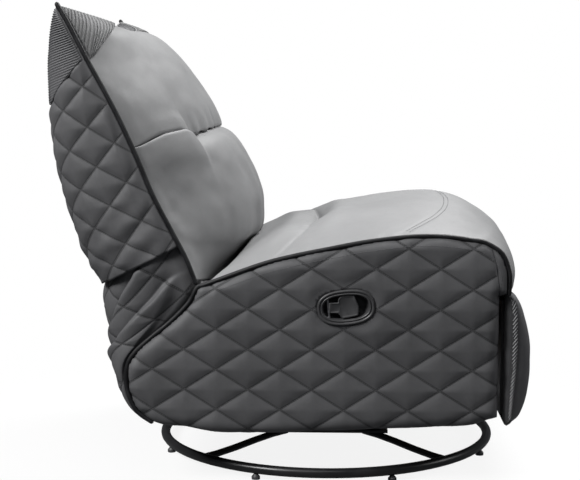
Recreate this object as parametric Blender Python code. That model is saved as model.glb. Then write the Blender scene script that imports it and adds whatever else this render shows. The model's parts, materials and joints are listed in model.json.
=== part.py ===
"""Swivel rocker recliner without arms: ring base, quilted sides, pillow back, fold-out footrest.

Lengths are in metres. +Z is up, the sitter faces -Y, and +X is on the sitter's left.
Inside the script Y is counted from the swivel axis, which stands SWIVEL_Y from the origin.
Tables that end in shares hold (depth share, height share) points of the side view.
"""
import math

import bmesh
import bpy
import numpy as np
from mathutils import Matrix, Vector

# Overall size of the side view
CHAIR_DEPTH = 1.03
CHAIR_HEIGHT = 0.98

# Fits and small steps shared by neighbours
FIT = 0.0003
OVERRUN = 0.02
MERGE = 0.00001

# Widths, counted from the middle plane
SIDE_FACE = 0.400
SIDE_PUFF = 0.012
SIDE_PADDING = 0.058
BOARD_THICKNESS = 0.018
LINK_THICKNESS = 0.005
LINK_AIR = 0.002
PIPING_RADIUS = 0.0045
PIPING_INSET = 0.0065

PIPING_X = SIDE_FACE - PIPING_INSET
COVER_HALF = PIPING_X - PIPING_RADIUS - FIT
PADDING_INNER = SIDE_FACE - SIDE_PADDING
BOARD_OUTER = PADDING_INNER - FIT
BOARD_INNER = BOARD_OUTER - BOARD_THICKNESS
MECHANISM_INNER = BOARD_INNER - FIT - LINK_THICKNESS
LAYER_PITCH = LINK_THICKNESS + LINK_AIR
REAR_LINK_INNER = MECHANISM_INNER - LAYER_PITCH
CARRIER_INNER = REAR_LINK_INNER - LAYER_PITCH
FRONT_LINK_INNER = CARRIER_INNER - LAYER_PITCH

# Ring base
RING_RADIUS = 0.373
RING_TUBE = 0.0105
GLIDE_HEIGHT = 0.0115
GLIDE_RADIUS = 0.009
GLIDE_COUNT = 8
RING_Z = GLIDE_HEIGHT + RING_TUBE
LEG_TUBE = 0.008
LEG_COUNT = 4
LEG_END_RADIUS = 0.125
BASE_PLATE_HALF = 0.140
BASE_PLATE_THICKNESS = 0.006
LEG_RISE = 0.016
BASE_PLATE_Z = RING_Z + LEG_RISE + LEG_TUBE + FIT
RACE_RADIUS = 0.090
RACE_HEIGHT = 0.0075
KING_PIN_RADIUS = 0.012
KING_PIN_HEAD = 0.020
KING_PIN_HEAD_HEIGHT = 0.007

# Turntable and rocker
TURNTABLE_HALF_X = 0.145
TURNTABLE_HALF_Y = 0.125
TURNTABLE_THICKNESS = 0.008
TURNTABLE_Z = BASE_PLATE_Z + BASE_PLATE_THICKNESS + RACE_HEIGHT + 2 * FIT
TURNTABLE_TOP = TURNTABLE_Z + TURNTABLE_THICKNESS
ROCKER_PIN_RADIUS = 0.008
ROCKER_LIFT = 0.031
ROCKER_Z = TURNTABLE_TOP + ROCKER_LIFT
YOKE_X = 0.086
YOKE_THICKNESS = 0.008
YOKE_HALF = 0.045
EYE_WALL = 0.008
HUB_THICKNESS = 0.007
HUB_INNER = YOKE_X - LINK_AIR - HUB_THICKNESS
HUB_HALF = 0.115
SPRING_Y = 0.100
SPRING_RADIUS = 0.0135
SPRING_WIRE = 0.0024
SPRING_TURNS = 4
SPRING_POINTS_PER_TURN = 8
CROSS_RAIL_share = 0.1378
CROSS_RAIL_Z = CROSS_RAIL_share * CHAIR_HEIGHT
CROSS_RAIL_WIDTH = 0.038
CROSS_RAIL_HEIGHT = 0.025

# Seat structure
DECK_share = 0.3939
DECK_Z = DECK_share * CHAIR_HEIGHT
DECK_THICKNESS = 0.005
MECHANISM_TOP_share = 0.3672
RAIL_AIR = 0.0039
RAIL_HEIGHT = (DECK_share - MECHANISM_TOP_share) * CHAIR_HEIGHT - RAIL_AIR - FIT
RAIL_WIDTH = 0.050
CUSHION_BASE_Z = DECK_Z + DECK_THICKNESS + FIT
CUSHION_EDGE = PIPING_RADIUS - FIT
TUFT_DEPTH = 0.016

# Mechanism
LINK_HALF_WIDTH = 0.0105
PIVOT_RADIUS = 0.005
TORQUE_TUBE_RADIUS = 0.008

# Back
BACK_FRAME_THICKNESS = 0.020
BACK_FRAME_BAR = 0.036
BACK_FRAME_START = 0.055
BACK_FRAME_HEADROOM = 0.1146
BRACKET_LENGTH = 0.20
SHELL_THICKNESS = 0.008
SHELL_LIP = 0.002
SKIRT_THICKNESS = 0.004
SKIRT_TUCK = 0.016
QUILT_HALF_LENGTH = 0.065
QUILT_HALF_HEIGHT = 0.0415
QUILT_BEFORE_CUP = 0.1257
QUILT_ABOVE_CUP = 0.0333
SHELL_PUFF = 0.007

# Footrest
PAD_HALF = 0.380
FOOT_BOARD_THICKNESS = 0.009
FOOT_BOARD_HALF = 0.355

# Release handle
CUP_LENGTH = 0.117
CUP_HEIGHT = 0.076
CUP_RIM = 0.008
CUP_DEPTH = 0.030
CUP_TILT = math.radians(6)
CUP_POINTS = 24
LEVER_THICKNESS = 0.005
LEVER_RECESS = 0.006
LEVER_PIN_RADIUS = 0.0025
LEVER_KNUCKLE = 0.0055
LEVER_PIN_OFFSET = 0.036
LEVER_PIN_AIR = 0.0006
LEVER_STEM_HALF = 0.009
LEVER_STEM_LENGTH = 0.024
LEVER_BLADE_HALF = 0.023
LEVER_BLADE_LENGTH = 0.034

# Counts
ROUND_SIDES = 12
RING_POINTS = 48
BACK_PIPING_POINTS = 18
SHELL_ROOF_ROWS = 2
EAR_EASE = 1.5
CURVE_STEPS = 12

BACK_CUSHION_ROWS = 12
PAD_ROWS = 10

# Exponents of the rounding across padded faces and of the cup's oval
SEAT_SQUARENESS = 2.6
BACK_SQUARENESS = 3
PAD_SQUARENESS = 8
CUP_ROUNDNESS = 0.8

# A leg from the ring inwards: shares of its run and of LEG_RISE
LEG_RISE_shares = [
    (0.0, 0.0), (0.12, 0.02), (0.35, 0.28), (0.60, 0.68), (0.82, 0.95), (1.0, 1.0)]

# Side view points as shares of CHAIR_DEPTH and CHAIR_HEIGHT
SEAT_PIPING_shares = [
    (0.232, 0.428), (0.129, 0.468), (0.062, 0.487), (-0.011, 0.503), (-0.085, 0.518),
    (-0.173, 0.529), (-0.237, 0.529), (-0.288, 0.522), (-0.314, 0.517), (-0.347, 0.494),
    (-0.361, 0.456), (-0.362, 0.429), (-0.361, 0.411)]
SEAT_REAR_shares = [
    (0.250, 0.421), (0.268, 0.388), (0.305, 0.348), (0.342, 0.316), (0.375, 0.284), (0.390, 0.257),
    (0.393, 0.218), (0.385, 0.186), (0.371, 0.160), (0.344, 0.141)]
SEAT_BOTTOM_shares = [
    (0.318, 0.131), (0.279, 0.128), (0.213, 0.114), (0.128, 0.112), (0.0, 0.118),
    (-0.124, 0.124), (-0.274, 0.131), (-0.317, 0.141), (-0.343, 0.150), (-0.343, 0.408)]
SEAT_CROWN_shares = [
    (0.142, 0.501), (0.094, 0.519), (0.010, 0.543), (-0.093, 0.571), (-0.208, 0.586),
    (-0.278, 0.579), (-0.325, 0.558), (-0.365, 0.523), (-0.387, 0.481), (-0.398, 0.441),
    (-0.397, 0.411)]
SEAT_UNDER_shares = [0.196, -0.350]
BOARD_shares = [
    (-0.331, 0.404), (-0.331, 0.158), (-0.300, 0.150), (-0.124, 0.137), (0.128, 0.128),
    (0.270, 0.148), (0.318, 0.170), (0.348, 0.205), (0.348, 0.243), (0.320, 0.283),
    (0.282, 0.318), (0.250, 0.350), (0.228, 0.378), (0.185, 0.385), (0.165, 0.405), (0.100, 0.449),
    (0.000, 0.474), (-0.145, 0.498), (-0.262, 0.497), (-0.320, 0.470)]
MECHANISM_shares = [
    (-0.314, 0.340), (-0.312, 0.364), (-0.280, MECHANISM_TOP_share), (0.240, MECHANISM_TOP_share),
    (0.270, 0.388), (0.300, 0.388), (0.312, 0.368), (0.298, 0.347), (0.240, 0.334),
    (0.000, 0.290), (-0.225, 0.281), (-0.255, 0.286)]
LINK_REAR_LOW_share = (-0.144, 0.181)
LINK_REAR_TOP_share = (-0.243, 0.306)
LINK_FRONT_TOP_share = (-0.295, 0.352)
CARRIER_END_share = (-0.335, 0.347)
RECLINE_share = (0.291, 0.367)
SEAT_FRAME_FRONT_share = -0.325
SEAT_FRAME_REAR_share = 0.185
CUP_CENTRE_share = (-0.043, 0.386)

BACK_PIPING_shares = [
    (0.253, 0.431), (0.273, 0.484), (0.305, 0.549), (0.337, 0.615), (0.366, 0.690),
    (0.400, 0.769), (0.431, 0.832), (0.460, 0.888), (0.496, 0.962), (0.517, 1.000)]
LUMBAR_CROWN_shares = [
    (0.219, 0.414), (0.201, 0.434), (0.166, 0.481), (0.146, 0.502), (0.140, 0.532),
    (0.142, 0.580), (0.156, 0.632), (0.182, 0.685), (0.214, 0.727), (0.250, 0.742)]
HEAD_CROWN_shares = [
    (0.252, 0.748), (0.247, 0.782), (0.275, 0.831), (0.304, 0.871), (0.337, 0.913),
    (0.366, 0.940), (0.395, 0.958), (0.426, 0.972), (0.452, 0.975)]
LUMBAR_SPAN_shares = (0.045, 0.478)
HEAD_SPAN_shares = (0.488, 0.960)
SHELL_SPAN_shares = (1.0, 0.135)
PIPING_SPAN_shares = (0.0, 0.984)
SHELL_REAR_shares = [
    (0.462, 0.986), (0.502, 0.992), (0.538, 0.986), (0.556, 0.968), (0.562, 0.929), (0.560, 0.855),
    (0.553, 0.710), (0.538, 0.622), (0.513, 0.542), (0.483, 0.461), (0.453, 0.410)]
SKIRT_REAR_shares = [
    (0.456, 0.404), (0.467, 0.354), (0.458, 0.303), (0.446, 0.252), (0.438, 0.207),
    (0.419, 0.167), (0.399, 0.126), (0.374, 0.104), (0.338, 0.091)]
SKIRT_FRONT_shares = [
    (0.297, 0.498), (0.272, 0.440), (0.280, 0.396), (0.312, 0.352), (0.350, 0.316),
    (0.392, 0.262), (0.397, 0.214), (0.382, 0.172), (0.322, 0.141)]
SKIRT_WIDTH_shares = [0.99, 0.98, 0.965, 0.95, 0.93, 0.91, 0.89, 0.88, 0.86]
SKIRT_COLUMN_shares = [0.0, 0.42, 0.68, 0.86, 0.95, 1.0]
SKIRT_CORNER_share = 0.82
PAD_FACE_shares = [
    (-0.377, 0.405), (-0.400, 0.342), (-0.406, 0.301), (-0.407, 0.259), (-0.400, 0.202),
    (-0.383, 0.146), (-0.366, 0.132)]
PAD_BACK_share = -0.3605
FOOT_BOARD_LOW_share = 0.150
FOOT_BOARD_TOP_share = 0.392
FOOT_BRACKET_LOW_share = 0.300
FOOT_BRACKET_TOP_share = 0.378

# Column places across a cushion, as shares of its half width
CUSHION_COLUMN_shares = [0.0, 0.22, 0.44, 0.62, 0.76, 0.832, 0.87, 0.93, 0.975, 1.0]
BACK_COLUMN_shares = [0.0, 0.20, 0.40, 0.58, 0.74, 0.87, 0.945, 0.97, 1.0]
PAD_COLUMN_shares = [0.0, 0.30, 0.60, 0.84, 0.95, 1.0]
PAD_EDGE_share = 0.55
HEAD_TAPER_share = 0.35
SEAT_ROW_shares = [
    0.0, 0.08, 0.15, 0.185, 0.20, 0.215, 0.25, 0.34, 0.45, 0.56, 0.66, 0.74, 0.80, 0.85, 0.89,
    0.93, 0.965, 1.0]
TUFT_ROW_share = 0.20
TUFT_REACH_share = 0.55
SHELL_SECTION_shares = [
    (1.0, 0.0), (0.998, 0.22), (0.985, 0.45), (0.955, 0.68), (0.89, 0.86), (0.78, 0.955),
    (0.60, 0.99), (0.30, 1.0), (0.0, 1.0)]

# Foremost and rearmost places of the whole chair, as shares of CHAIR_DEPTH
REACH_FRONT_share = -0.4073
REACH_REAR_share = 0.5688
SWIVEL_Y = -(REACH_FRONT_share + REACH_REAR_share) * CHAIR_DEPTH / 2

LEAN = math.atan2(
    (BACK_PIPING_shares[-1][0] - BACK_PIPING_shares[0][0]) * CHAIR_DEPTH,
    (BACK_PIPING_shares[-1][1] - BACK_PIPING_shares[0][1]) * CHAIR_HEIGHT)


def side_point(share):
    """Turn one share of depth and height into a (y, z) point."""
    return np.array((share[0] * CHAIR_DEPTH, share[1] * CHAIR_HEIGHT))


def side_points(shares):
    """Turn a table of shares into (y, z) points."""
    return [side_point(share) for share in shares]


LINK_REAR_TOP = side_point(LINK_REAR_TOP_share)
LINK_REAR_LOW = side_point(LINK_REAR_LOW_share)
LINK_FRONT_TOP = side_point(LINK_FRONT_TOP_share)
LINK_FRONT_LOW = LINK_FRONT_TOP + LINK_REAR_LOW - LINK_REAR_TOP
CARRIER_END = side_point(CARRIER_END_share)
RECLINE = side_point(RECLINE_share)
CUP_CENTRE = side_point(CUP_CENTRE_share)
UP_THE_BACK = np.array((math.sin(LEAN), math.cos(LEAN)))
BEHIND_THE_BACK = np.array((math.cos(LEAN), -math.sin(LEAN)))
BACK_TOP = side_point(BACK_PIPING_shares[-1])
BACK_FRAME_STOP = (BACK_TOP - RECLINE) @ UP_THE_BACK - BACK_FRAME_HEADROOM
QUILT_NODE = CUP_CENTRE + np.array((-QUILT_BEFORE_CUP, QUILT_ABOVE_CUP))
CUP_FACE = SIDE_FACE + SIDE_PUFF - FIT
CUP_AXIS = np.array((math.cos(CUP_TILT), -math.sin(CUP_TILT)))
CUP_RISE = np.array((math.sin(CUP_TILT), math.cos(CUP_TILT)))
LEVER_X = CUP_FACE - LEVER_RECESS - LEVER_KNUCKLE
LEVER_PIVOT = CUP_CENTRE + CUP_AXIS * LEVER_PIN_OFFSET
LEVER_PIN_REACH_share = (LEVER_PIN_OFFSET + LEVER_PIN_RADIUS) / (CUP_LENGTH / 2 - CUP_RIM)
LEVER_PIN_RISE_share = (1.0 - LEVER_PIN_REACH_share ** (2 / CUP_ROUNDNESS)) ** (CUP_ROUNDNESS / 2)
LEVER_PIN_HALF = (CUP_HEIGHT / 2 - CUP_RIM) * LEVER_PIN_RISE_share - LEVER_PIN_AIR


def at(x, point):
    """Join an x and a (y, z) point into a vector."""
    return Vector((x, float(point[0]), float(point[1])))


BODIES = {
    "base": (None, Vector((0.0, 0.0, 0.0))),
    "turntable": ("base", Vector((0.0, 0.0, TURNTABLE_Z))),
    "seat": ("turntable", Vector((0.0, 0.0, ROCKER_Z))),
    "back": ("seat", at(0.0, RECLINE)),
    "rear_links": ("seat", at(0.0, LINK_REAR_TOP)),
    "front_links": ("seat", at(0.0, LINK_FRONT_TOP)),
    "carriers": ("rear_links", at(0.0, LINK_REAR_LOW)),
    "footrest": ("carriers", at(0.0, CARRIER_END)),
    "handle": ("seat", at(-LEVER_X, LEVER_PIVOT)),
}
PIVOTS = {}


def clear_scene():
    """Remove what the scene holds."""
    for item in list(bpy.data.objects):
        bpy.data.objects.remove(item)


def make_pivots():
    """Put an empty on the axis of each moving body."""
    origin = Vector((0.0, -SWIVEL_Y, 0.0))
    for name, (parent, pivot) in BODIES.items():
        empty = bpy.data.objects.new("pivot_" + name, None)
        bpy.context.collection.objects.link(empty)
        empty.parent = PIVOTS.get(parent)
        empty.location = pivot - (BODIES[parent][1] if parent else origin)
        PIVOTS[name] = empty


def make_material(name, colour, roughness, metallic=0.0):
    """Make a plain Principled material."""
    material = bpy.data.materials.new(name)
    material.use_nodes = True
    shader = material.node_tree.nodes["Principled BSDF"]
    shader.inputs["Base Color"].default_value = (*colour, 1.0)
    shader.inputs["Roughness"].default_value = roughness
    shader.inputs["Metallic"].default_value = metallic
    return material


FINISHES = {
    "steel": ((0.015, 0.015, 0.016), 0.35, 0.6),
    "zinc": ((0.45, 0.45, 0.46), 0.40, 1.0),
    "light_leather": ((0.45, 0.46, 0.47), 0.55, 0.0),
    "dark_leather": ((0.055, 0.055, 0.060), 0.60, 0.0),
    "piping": ((0.012, 0.012, 0.013), 0.50, 0.0),
    "board": ((0.42, 0.30, 0.18), 0.70, 0.0),
    "moulding": ((0.012, 0.012, 0.013), 0.40, 0.0),
}


def attach(item, name, finish, body):
    """Give an object its material and hang it on the pivot of its body."""
    bpy.context.collection.objects.link(item)
    item.data.materials.append(make_material(name, *FINISHES[finish]))
    item.parent = PIVOTS[body]
    return item


def add_mesh(name, bm, finish, body, sharp=math.radians(35)):
    """Turn a bmesh in chair places into an object of a body."""
    bmesh.ops.recalc_face_normals(bm, faces=bm.faces)
    if bm.calc_volume(signed=True) < 0:
        bmesh.ops.reverse_faces(bm, faces=bm.faces)
    mesh = bpy.data.meshes.new(name)
    bm.to_mesh(mesh)
    bm.free()
    mesh.transform(Matrix.Translation(-BODIES[body][1]))
    mesh.shade_smooth()
    mesh.set_sharp_from_angle(angle=sharp)
    return attach(bpy.data.objects.new(name, mesh), name, finish, body)


def box(name, low, high, finish, body):
    """Make a box from its lowest and highest corners."""
    bm = bmesh.new()
    low, high = Vector(low), Vector(high)
    size = high - low
    place = Matrix.Translation((low + high) / 2) @ Matrix.Diagonal((*size, 1.0))
    bmesh.ops.create_cube(bm, size=1.0, matrix=place)
    return add_mesh(name, bm, finish, body)


def circle(centre, radius, sides=ROUND_SIDES):
    """Points of a circle in the side view."""
    turns = [2 * math.pi * k / sides for k in range(sides)]
    return [np.array((centre[0] + radius * math.cos(a), centre[1] + radius * math.sin(a)))
            for a in turns]


def inset(points, distance):
    """Move a closed outline, listed either way round, inwards."""
    count = len(points)
    area = sum(points[i - 1][0] * points[i][1] - points[i][0] * points[i - 1][1]
               for i in range(count))
    turn = 1.0 if area > 0 else -1.0
    moved = []
    for i in range(count):
        before = points[i] - points[i - 1]
        after = points[(i + 1) % count] - points[i]
        before = before / np.linalg.norm(before)
        after = after / np.linalg.norm(after)
        across = np.array((-(before + after)[1], (before + after)[0])) * turn
        across = across / np.linalg.norm(across)
        half_angle = max(np.dot(across, np.array((-before[1], before[0])) * turn), 0.5)
        moved.append(points[i] + across * distance / half_angle)
    return moved


def loop_edges(bm, points, x):
    """Add a closed loop of edges in the plane at x."""
    verts = [bm.verts.new(at(x, p)) for p in points]
    edges = [bm.edges.new((verts[i - 1], verts[i])) for i in range(len(verts))]
    return verts, edges


def push(bm, faces, x, closed=False):
    """Extrude faces along X and return the moved faces; closed says they bound a solid."""
    made = bmesh.ops.extrude_face_region(bm, geom=faces)["geom"]
    verts = [g for g in made if isinstance(g, bmesh.types.BMVert)]
    bmesh.ops.translate(bm, verts=verts, vec=Vector((x, 0.0, 0.0)))
    if closed:
        bmesh.ops.delete(bm, geom=faces, context="FACES_ONLY")
    return [g for g in made if isinstance(g, bmesh.types.BMFace)]


def plate(name, outline, inner, thickness, side, finish, body, holes=(), studs=()):
    """Make a flat plate in the side view, with round holes and with studs on a face.

    inner is the distance of its inner face from the middle plane, side is 1 or -1, and a
    stud is (centre, length), which is negative where the stud points to the middle plane.
    """
    bm = bmesh.new()
    edges = loop_edges(bm, outline, side * inner)[1]
    rounds = []
    for centre in holes:
        verts, rim = loop_edges(bm, circle(centre, PIVOT_RADIUS + FIT), side * inner)
        rounds.append((verts, 0.0))
        edges += rim
    for centre, length in studs:
        verts, rim = loop_edges(bm, circle(centre, PIVOT_RADIUS), side * inner)
        rounds.append((verts, length))
        edges += rim
    bmesh.ops.triangle_fill(bm, use_beauty=True, edges=edges)
    for verts, length in rounds:
        inside = [f for f in bm.faces if set(f.verts) <= set(verts)]
        bmesh.ops.delete(bm, geom=inside, context="FACES")
    discs = [(bm.faces.new(verts), length) for verts, length in rounds if length]
    outer = push(bm, bm.faces[:], side * thickness)
    tops = [f for f in outer if len(f.verts) == ROUND_SIDES]
    for disc, length in discs:
        middle = disc.calc_center_median()
        if length < 0:
            push(bm, [disc], side * length, closed=True)
        else:
            top = min(tops, key=lambda f: (f.calc_center_median() - middle).length)
            tops.remove(top)
            push(bm, [top], side * length, closed=True)
    return add_mesh(name, bm, finish, body)


def bar_outline(start, end, half_width):
    """Outline of a straight bar with round ends."""
    along = (end - start) / np.linalg.norm(end - start)
    heading = math.atan2(along[1], along[0])
    points = []
    for centre, first in ((end, -math.pi / 2), (start, math.pi / 2)):
        for k in range(ROUND_SIDES // 2 + 1):
            a = heading + first + math.pi * k / (ROUND_SIDES // 2)
            points.append(centre + half_width * np.array((math.cos(a), math.sin(a))))
    return points


def tube(name, points, radius, finish, body, cyclic=False, resolution=1):
    """Make a round tube along points given in chair places."""
    curve = bpy.data.curves.new(name, "CURVE")
    curve.dimensions = "3D"
    curve.bevel_depth = radius
    curve.bevel_resolution = resolution
    curve.use_fill_caps = not cyclic
    spline = curve.splines.new("POLY")
    spline.points.add(len(points) - 1)
    for slot, point in zip(spline.points, points):
        slot.co = (*(Vector(point) - BODIES[body][1]), 1.0)
    spline.use_cyclic_u = cyclic
    return attach(bpy.data.objects.new(name, curve), name, finish, body)


def turned(name, profile, centre, finish, body, sides=2 * ROUND_SIDES):
    """Turn a closed profile of (radius, z) points about an upright axis."""
    bm = bmesh.new()
    verts = [bm.verts.new((centre[0] + r, centre[1], z)) for r, z in profile]
    on_axis = profile[0][0] == 0.0
    last = len(verts) - 1 if on_axis else len(verts)
    edges = [bm.edges.new((verts[i], verts[(i + 1) % len(verts)])) for i in range(last)]
    bmesh.ops.spin(bm, geom=verts + edges, cent=(*centre, 0.0), axis=(0.0, 0.0, 1.0),
                   angle=2 * math.pi, steps=sides, use_merge=True)
    bmesh.ops.remove_doubles(bm, verts=bm.verts, dist=MERGE)
    return add_mesh(name, bm, finish, body)


def smooth_points(points, places):
    """Read a smooth curve through points at places given as shares of its length."""
    ends = [points[0]] + list(points) + [points[-1]]
    dense = []
    for i in range(1, len(ends) - 2):
        a, b, c, d = ends[i - 1], ends[i], ends[i + 1], ends[i + 2]
        for k in range(CURVE_STEPS):
            t = k / CURVE_STEPS
            dense.append(0.5 * (2 * b + (c - a) * t + (2 * a - 5 * b + 4 * c - d) * t ** 2
                                + (3 * b - a - 3 * c + d) * t ** 3))
    dense.append(points[-1])
    dense = np.array(dense)
    steps = np.linalg.norm(np.diff(dense, axis=0), axis=1)
    travel = np.concatenate(([0.0], np.cumsum(steps))) / steps.sum()
    return np.stack([np.interp(places, travel, dense[:, k]) for k in range(dense.shape[1])], 1)


def back_edge(span_shares, rows, ease=1.0):
    """Points of the back's piping line between two shares of its length, closer at the start."""
    first, last = span_shares
    places = [first + (last - first) * (k / rows) ** ease for k in range(rows + 1)]
    return smooth_points(side_points(BACK_PIPING_shares), places)


def seat_edge():
    """Points of the piping line along the top of the seat, from the rear to the front."""
    return smooth_points(side_points(SEAT_PIPING_shares), SEAT_ROW_shares)


def mirrored(shares):
    """Columns from the right edge to the left edge, for a table from the middle out."""
    return [-s for s in reversed(shares[1:])] + list(shares)


def pillow(name, columns, rows, face_at, back_at, finish, body, quilted=False):
    """Make a closed pillow from a grid: face_at and back_at place its two sides."""
    bm = bmesh.new()
    bmesh.ops.create_grid(bm, x_segments=columns, y_segments=rows, size=1.0)
    made = bmesh.ops.extrude_face_region(bm, geom=bm.faces[:])["geom"]
    front = {g for g in made if isinstance(g, bmesh.types.BMVert)}
    cells = {v: (round((v.co.x + 1) / 2 * columns), round((v.co.y + 1) / 2 * rows))
             for v in bm.verts}
    if quilted:
        for face in [f for f in bm.faces if all(v in front for v in f.verts)]:
            seam = [v for v in face.verts if sum(cells[v]) % 2 == 0]
            bmesh.utils.face_split(face, seam[0], seam[1])
    for vert, (column, row) in cells.items():
        vert.co = face_at(column, row) if vert in front else back_at(column, row)
    return add_mesh(name, bm, finish, body, sharp=math.radians(60))


def cut(item, cutter, operation="DIFFERENCE"):
    """Cut an object with a hidden one."""
    modifier = item.modifiers.new(operation.lower(), "BOOLEAN")
    modifier.operation = operation
    modifier.solver = "EXACT"
    modifier.object = cutter
    cutter.hide_render = True
    cutter.display_type = "WIRE"


def side_name(side):
    """The sitter's left is at +X."""
    return "left" if side > 0 else "right"


def make_ring():
    """Floor ring of round tube, its glides and the four legs that rise to the plate."""
    points = []
    for k in range(RING_POINTS):
        turn = 2 * math.pi * k / RING_POINTS
        points.append((RING_RADIUS * math.cos(turn), RING_RADIUS * math.sin(turn), RING_Z))
    tube("base_ring", points, RING_TUBE, "steel", "base", cyclic=True, resolution=2)
    foot = [(0.0, 0.0), (GLIDE_RADIUS, 0.0), (GLIDE_RADIUS, GLIDE_HEIGHT / 2),
            (GLIDE_RADIUS / 2, GLIDE_HEIGHT - FIT), (0.0, GLIDE_HEIGHT - FIT)]
    for k in range(GLIDE_COUNT):
        turn = 2 * math.pi * (k + 0.5) / GLIDE_COUNT
        centre = (RING_RADIUS * math.cos(turn), RING_RADIUS * math.sin(turn))
        turned("floor_glide_%d" % (k + 1), foot, centre, "moulding", "base", ROUND_SIDES)
    facet_sag = RING_RADIUS * (1.0 - math.cos(math.pi / RING_POINTS))
    start = RING_RADIUS - facet_sag - RING_TUBE - FIT
    run = start - LEG_END_RADIUS
    for k in range(LEG_COUNT):
        turn = 2 * math.pi * (k + 0.5) / LEG_COUNT
        path = []
        for out_share, up_share in LEG_RISE_shares:
            radius = start - run * out_share
            path.append((radius * math.cos(turn), radius * math.sin(turn),
                         RING_Z + LEG_RISE * up_share))
        tube("base_leg_%d" % (k + 1), path, LEG_TUBE, "steel", "base", resolution=2)


def make_swivel():
    """Base plate, lower bearing race, king pin and the turntable above them."""
    bore = KING_PIN_RADIUS + FIT
    for name, half_x, half_y, low, thickness, body in (
            ("base_plate", BASE_PLATE_HALF, BASE_PLATE_HALF, BASE_PLATE_Z,
             BASE_PLATE_THICKNESS, "base"),
            ("turntable_plate", TURNTABLE_HALF_X, TURNTABLE_HALF_Y, TURNTABLE_Z,
             TURNTABLE_THICKNESS, "turntable")):
        item = box(name, (-half_x, -half_y, low), (half_x, half_y, low + thickness),
                   "steel", body)
        hole = turned(name + "_bore", [(0.0, low - OVERRUN), (bore, low - OVERRUN),
                                       (bore, low + OVERRUN), (0.0, low + OVERRUN)],
                      (0.0, 0.0), "steel", body)
        cut(item, hole)
    race_low = BASE_PLATE_Z + BASE_PLATE_THICKNESS + FIT
    race_top = race_low + RACE_HEIGHT
    turned("swivel_bearing", [(bore, race_low), (RACE_RADIUS, race_low),
                              (RACE_RADIUS, race_top), (bore, race_top)],
           (0.0, 0.0), "zinc", "base")
    low = BASE_PLATE_Z - FIT
    top = TURNTABLE_TOP + FIT
    foot = low - KING_PIN_HEAD_HEIGHT
    cap = top + KING_PIN_HEAD_HEIGHT
    turned("king_pin", [(0.0, foot), (KING_PIN_HEAD, foot), (KING_PIN_HEAD, low),
                        (KING_PIN_RADIUS, low), (KING_PIN_RADIUS, top), (KING_PIN_HEAD, top),
                        (KING_PIN_HEAD, cap), (0.0, cap)],
           (0.0, 0.0), "zinc", "base")


def eye_plate(name, foot_z, half, inner, thickness, side, body, eye_radius):
    """Upright plate with a flat foot and an eye round the rocker pin."""
    eye = np.array((0.0, ROCKER_Z))
    outer = eye_radius + EYE_WALL
    away = 1.0 if foot_z > ROCKER_Z else -1.0
    outline = [np.array((-half, foot_z)), np.array((half, foot_z))]
    for k in range(ROUND_SIDES // 2 + 1):
        a = math.pi * k / (ROUND_SIDES // 2)
        outline.append(eye + outer * np.array((math.cos(a), -away * math.sin(a))))
    bm = bmesh.new()
    edges = loop_edges(bm, outline, side * inner)[1]
    edges += loop_edges(bm, circle(eye, eye_radius), side * inner)[1]
    bmesh.ops.triangle_fill(bm, use_beauty=True, edges=edges)
    push(bm, bm.faces[:], side * thickness)
    return add_mesh(name, bm, "steel", body)


def make_rocker():
    """Yokes and pin on the turntable, hubs under the seat, and the two coil springs."""
    bore = ROCKER_PIN_RADIUS + FIT
    for side in (1, -1):
        eye_plate("rocker_yoke_" + side_name(side), TURNTABLE_TOP + FIT, YOKE_HALF, YOKE_X,
                  YOKE_THICKNESS, side, "turntable", bore)
        eye_plate("rocker_hub_" + side_name(side), CROSS_RAIL_Z - FIT, HUB_HALF, HUB_INNER,
                  HUB_THICKNESS, side, "seat", bore)
    half = YOKE_X + YOKE_THICKNESS + LINK_AIR
    bm = bmesh.new()
    place = Matrix.Translation((0.0, 0.0, ROCKER_Z)) @ Matrix.Rotation(math.pi / 2, 4, "Y")
    bmesh.ops.create_cone(bm, cap_ends=True, segments=ROUND_SIDES, radius1=ROCKER_PIN_RADIUS,
                          radius2=ROCKER_PIN_RADIUS, depth=2 * half, matrix=place)
    add_mesh("rocker_pin", bm, "zinc", "turntable")
    low = TURNTABLE_TOP + FIT + SPRING_WIRE
    top = CROSS_RAIL_Z - FIT - SPRING_WIRE
    for fore, y in (("front", -SPRING_Y), ("rear", SPRING_Y)):
        path = spring_path(Vector((0.0, y, low)), top - low)
        tube("rocker_spring_" + fore, path, SPRING_WIRE, "zinc", "seat")


def spring_path(foot, height):
    """Helix of one spring; prints the least gap between its turns."""
    count = SPRING_TURNS * SPRING_POINTS_PER_TURN
    points = []
    for k in range(count + 1):
        turn = 2 * math.pi * k / SPRING_POINTS_PER_TURN
        reach = Vector((math.cos(turn), math.sin(turn), 0.0)) * (SPRING_RADIUS - SPRING_WIRE)
        points.append(foot + reach + Vector((0.0, 0.0, height * k / count)))
    step = SPRING_POINTS_PER_TURN
    least = min((points[k + step] - points[k]).length for k in range(count - step))
    print("least gap between spring turns", round(least - 2 * SPRING_WIRE, 5))
    return points


def frame_ring(name, corners, bar, depth, body):
    """Flat rectangular frame of timber bars, from its four corners and a depth vector."""
    bm = bmesh.new()
    face = bm.faces.new([bm.verts.new(corner) for corner in corners])
    bm.normal_update()
    bmesh.ops.inset_individual(bm, faces=[face], thickness=bar)
    bmesh.ops.delete(bm, geom=[face], context="FACES_ONLY")
    made = bmesh.ops.extrude_face_region(bm, geom=bm.faces[:])["geom"]
    verts = [g for g in made if isinstance(g, bmesh.types.BMVert)]
    bmesh.ops.translate(bm, verts=verts, vec=depth)
    return add_mesh(name, bm, "board", body)


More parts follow.
